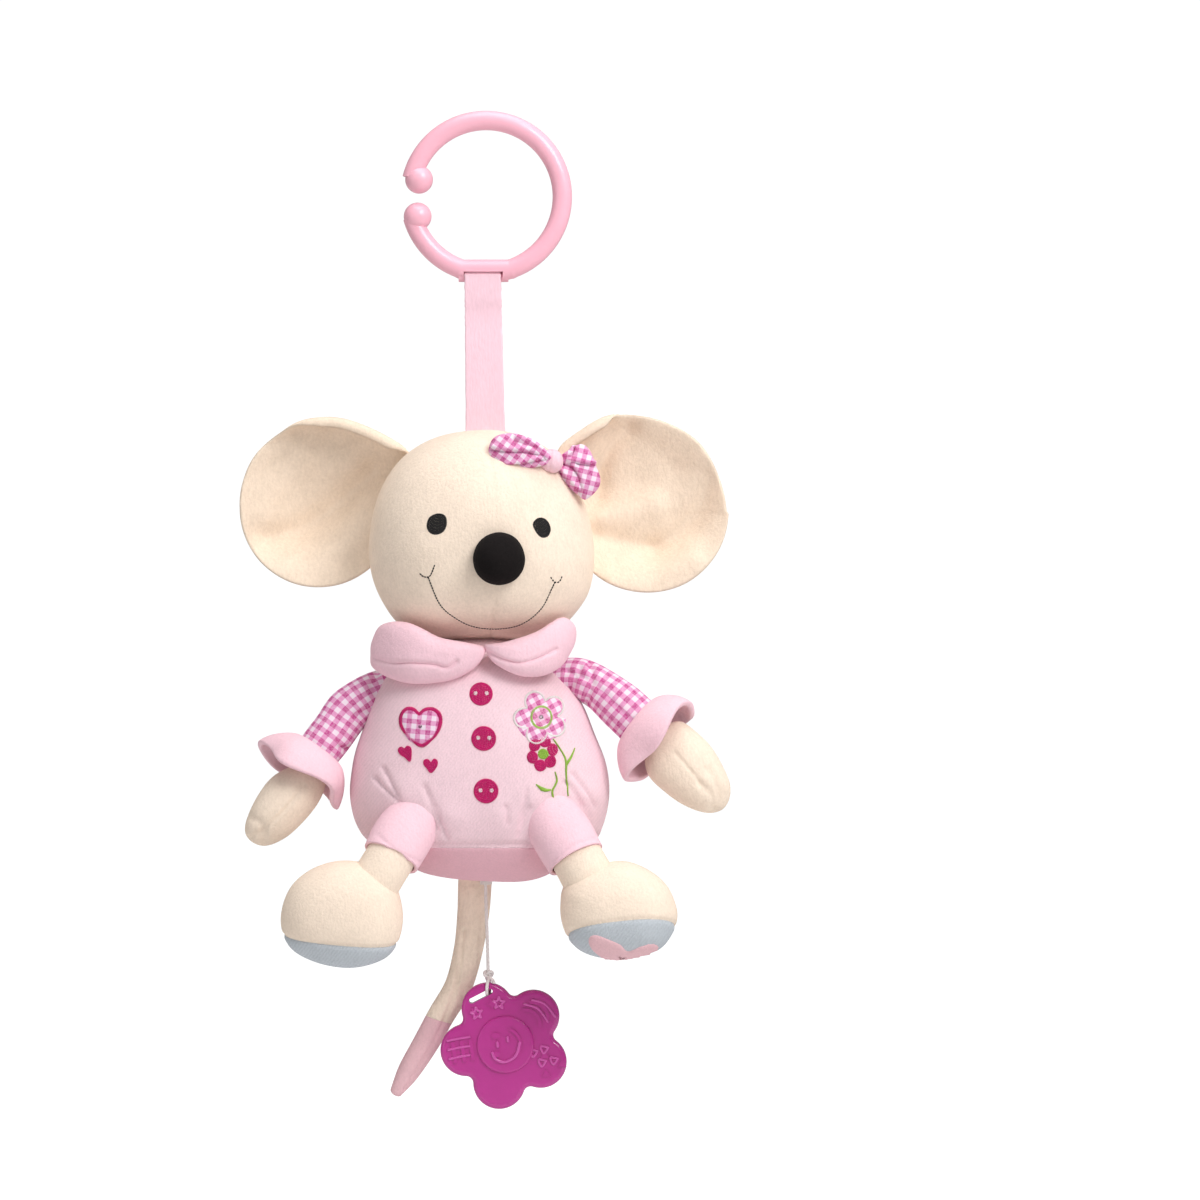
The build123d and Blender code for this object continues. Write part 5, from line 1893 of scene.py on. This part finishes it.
class MOUSE_OT_studio(bpy.types.Operator):
    """A plain pale floor, soft lights and the camera"""

    bl_idname = "mouse.studio"
    bl_label = "Studio"

    def execute(self, context):
        scene = context.scene
        scene.view_settings.view_transform = "Standard"
        camera = bpy.data.cameras.new("View")
        camera.lens = 128.6
        camera.clip_end = 30.0
        eye = bpy.data.objects.new("View", camera)
        eye.location = EYE * MM
        eye.rotation_euler = (math.pi / 2, 0, 0)
        scene.collection.objects.link(eye)
        scene.camera = eye
        world = bpy.data.worlds.new("Pale room")
        scene.world = world
        world.use_nodes = True
        world.node_tree.nodes.clear()
        bench = Bench(world.node_tree)
        shown = bench.add("ShaderNodeLightPath").outputs["Is Camera Ray"]
        bright = bench.maths("ADD", bench.maths("MULTIPLY", shown, 0.72), 0.33)
        sky = bench.add("ShaderNodeBackground", {"Color": (1, 1, 1, 1), "Strength": bright})
        bench.add("ShaderNodeOutputWorld", {"Surface": sky.outputs[0]})
        paper = bpy.data.materials.new("Pale floor")
        paper.use_nodes = True
        bench = Bench(paper.node_tree)
        lit = bench.maths("MULTIPLY", bench.add("ShaderNodeLightPath").outputs["Is Camera Ray"], 0.8)
        shader = paper.node_tree.nodes["Principled BSDF"]
        shader.inputs["Base Color"].default_value = (0.9, 0.9, 0.9, 1)
        shader.inputs["Roughness"].default_value = 0.9
        shader.inputs["Emission Color"].default_value = (1, 1, 1, 1)
        bench.tree.links.new(lit, shader.inputs["Emission Strength"])
        rim = 9000.0
        low = -760.0
        corners = [(-rim, -rim, low), (rim, -rim, low), (rim, rim, low), (-rim, rim, low)]
        floor = piece("floor", corners, [(0, 1, 2, 3)], paper)
        for name, place, aim, size, power in (
            ("Key", (1.1, -1.3, 1.0), (0.0, 0.0, -0.3), 1.0, 31.0),
            ("Top", (0.1, -0.3, 1.3), (0.0, 0.0, -0.3), 1.2, 14.0),
            ("Fill", (-1.6, -1.4, -0.1), (0.0, 0.0, -0.33), 1.2, 3.5),
        ):
            lamp = bpy.data.lights.new(name, "AREA")
            lamp.size = size
            lamp.energy = power
            stand = bpy.data.objects.new(name, lamp)
            stand.location = place
            way = Vector(aim) - Vector(place)
            stand.rotation_euler = way.to_track_quat("-Z", "Y").to_euler()
            scene.collection.objects.link(stand)
        return {"FINISHED"}


OPERATORS = (
    MOUSE_OT_studio,
    MOUSE_OT_cord,
    MOUSE_OT_ring,
    MOUSE_OT_tape,
    MOUSE_OT_head,
    MOUSE_OT_face,
    MOUSE_OT_ears,
    MOUSE_OT_bow,
    MOUSE_OT_torso,
    MOUSE_OT_collar,
    MOUSE_OT_arms,
    MOUSE_OT_legs,
    MOUSE_OT_tail,
    MOUSE_OT_handle,
    MOUSE_OT_embroidery,
    MOUSE_OT_movement,
)


class MOUSE_PT_panel(bpy.types.Panel):
    """Lists the pieces and what can be changed about them"""

    bl_idname = "MOUSE_PT_panel"
    bl_label = "Plush musical mouse"
    bl_space_type = "VIEW_3D"
    bl_region_type = "UI"
    bl_category = "Mouse"

    def draw(self, context):
        for group in (context.scene.mouse_sizes, context.scene.mouse_colours):
            for key in group.__annotations__:
                self.layout.prop(group, key)
        for operator in OPERATORS:
            self.layout.operator(operator.bl_idname)


CLASSES = (MouseSizes, MouseColours, *OPERATORS, MOUSE_PT_panel)


def register():
    for cls in CLASSES:
        bpy.utils.register_class(cls)
    bpy.types.Scene.mouse_sizes = PointerProperty(type=MouseSizes)
    bpy.types.Scene.mouse_colours = PointerProperty(type=MouseColours)


def unregister():
    del bpy.types.Scene.mouse_colours
    del bpy.types.Scene.mouse_sizes
    for cls in reversed(CLASSES):
        bpy.utils.unregister_class(cls)


def main():
    register()
    for operator in OPERATORS:
        group, action = operator.bl_idname.split(".")
        getattr(getattr(bpy.ops, group), action)()
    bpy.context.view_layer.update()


if __name__ == "__main__":
    main()
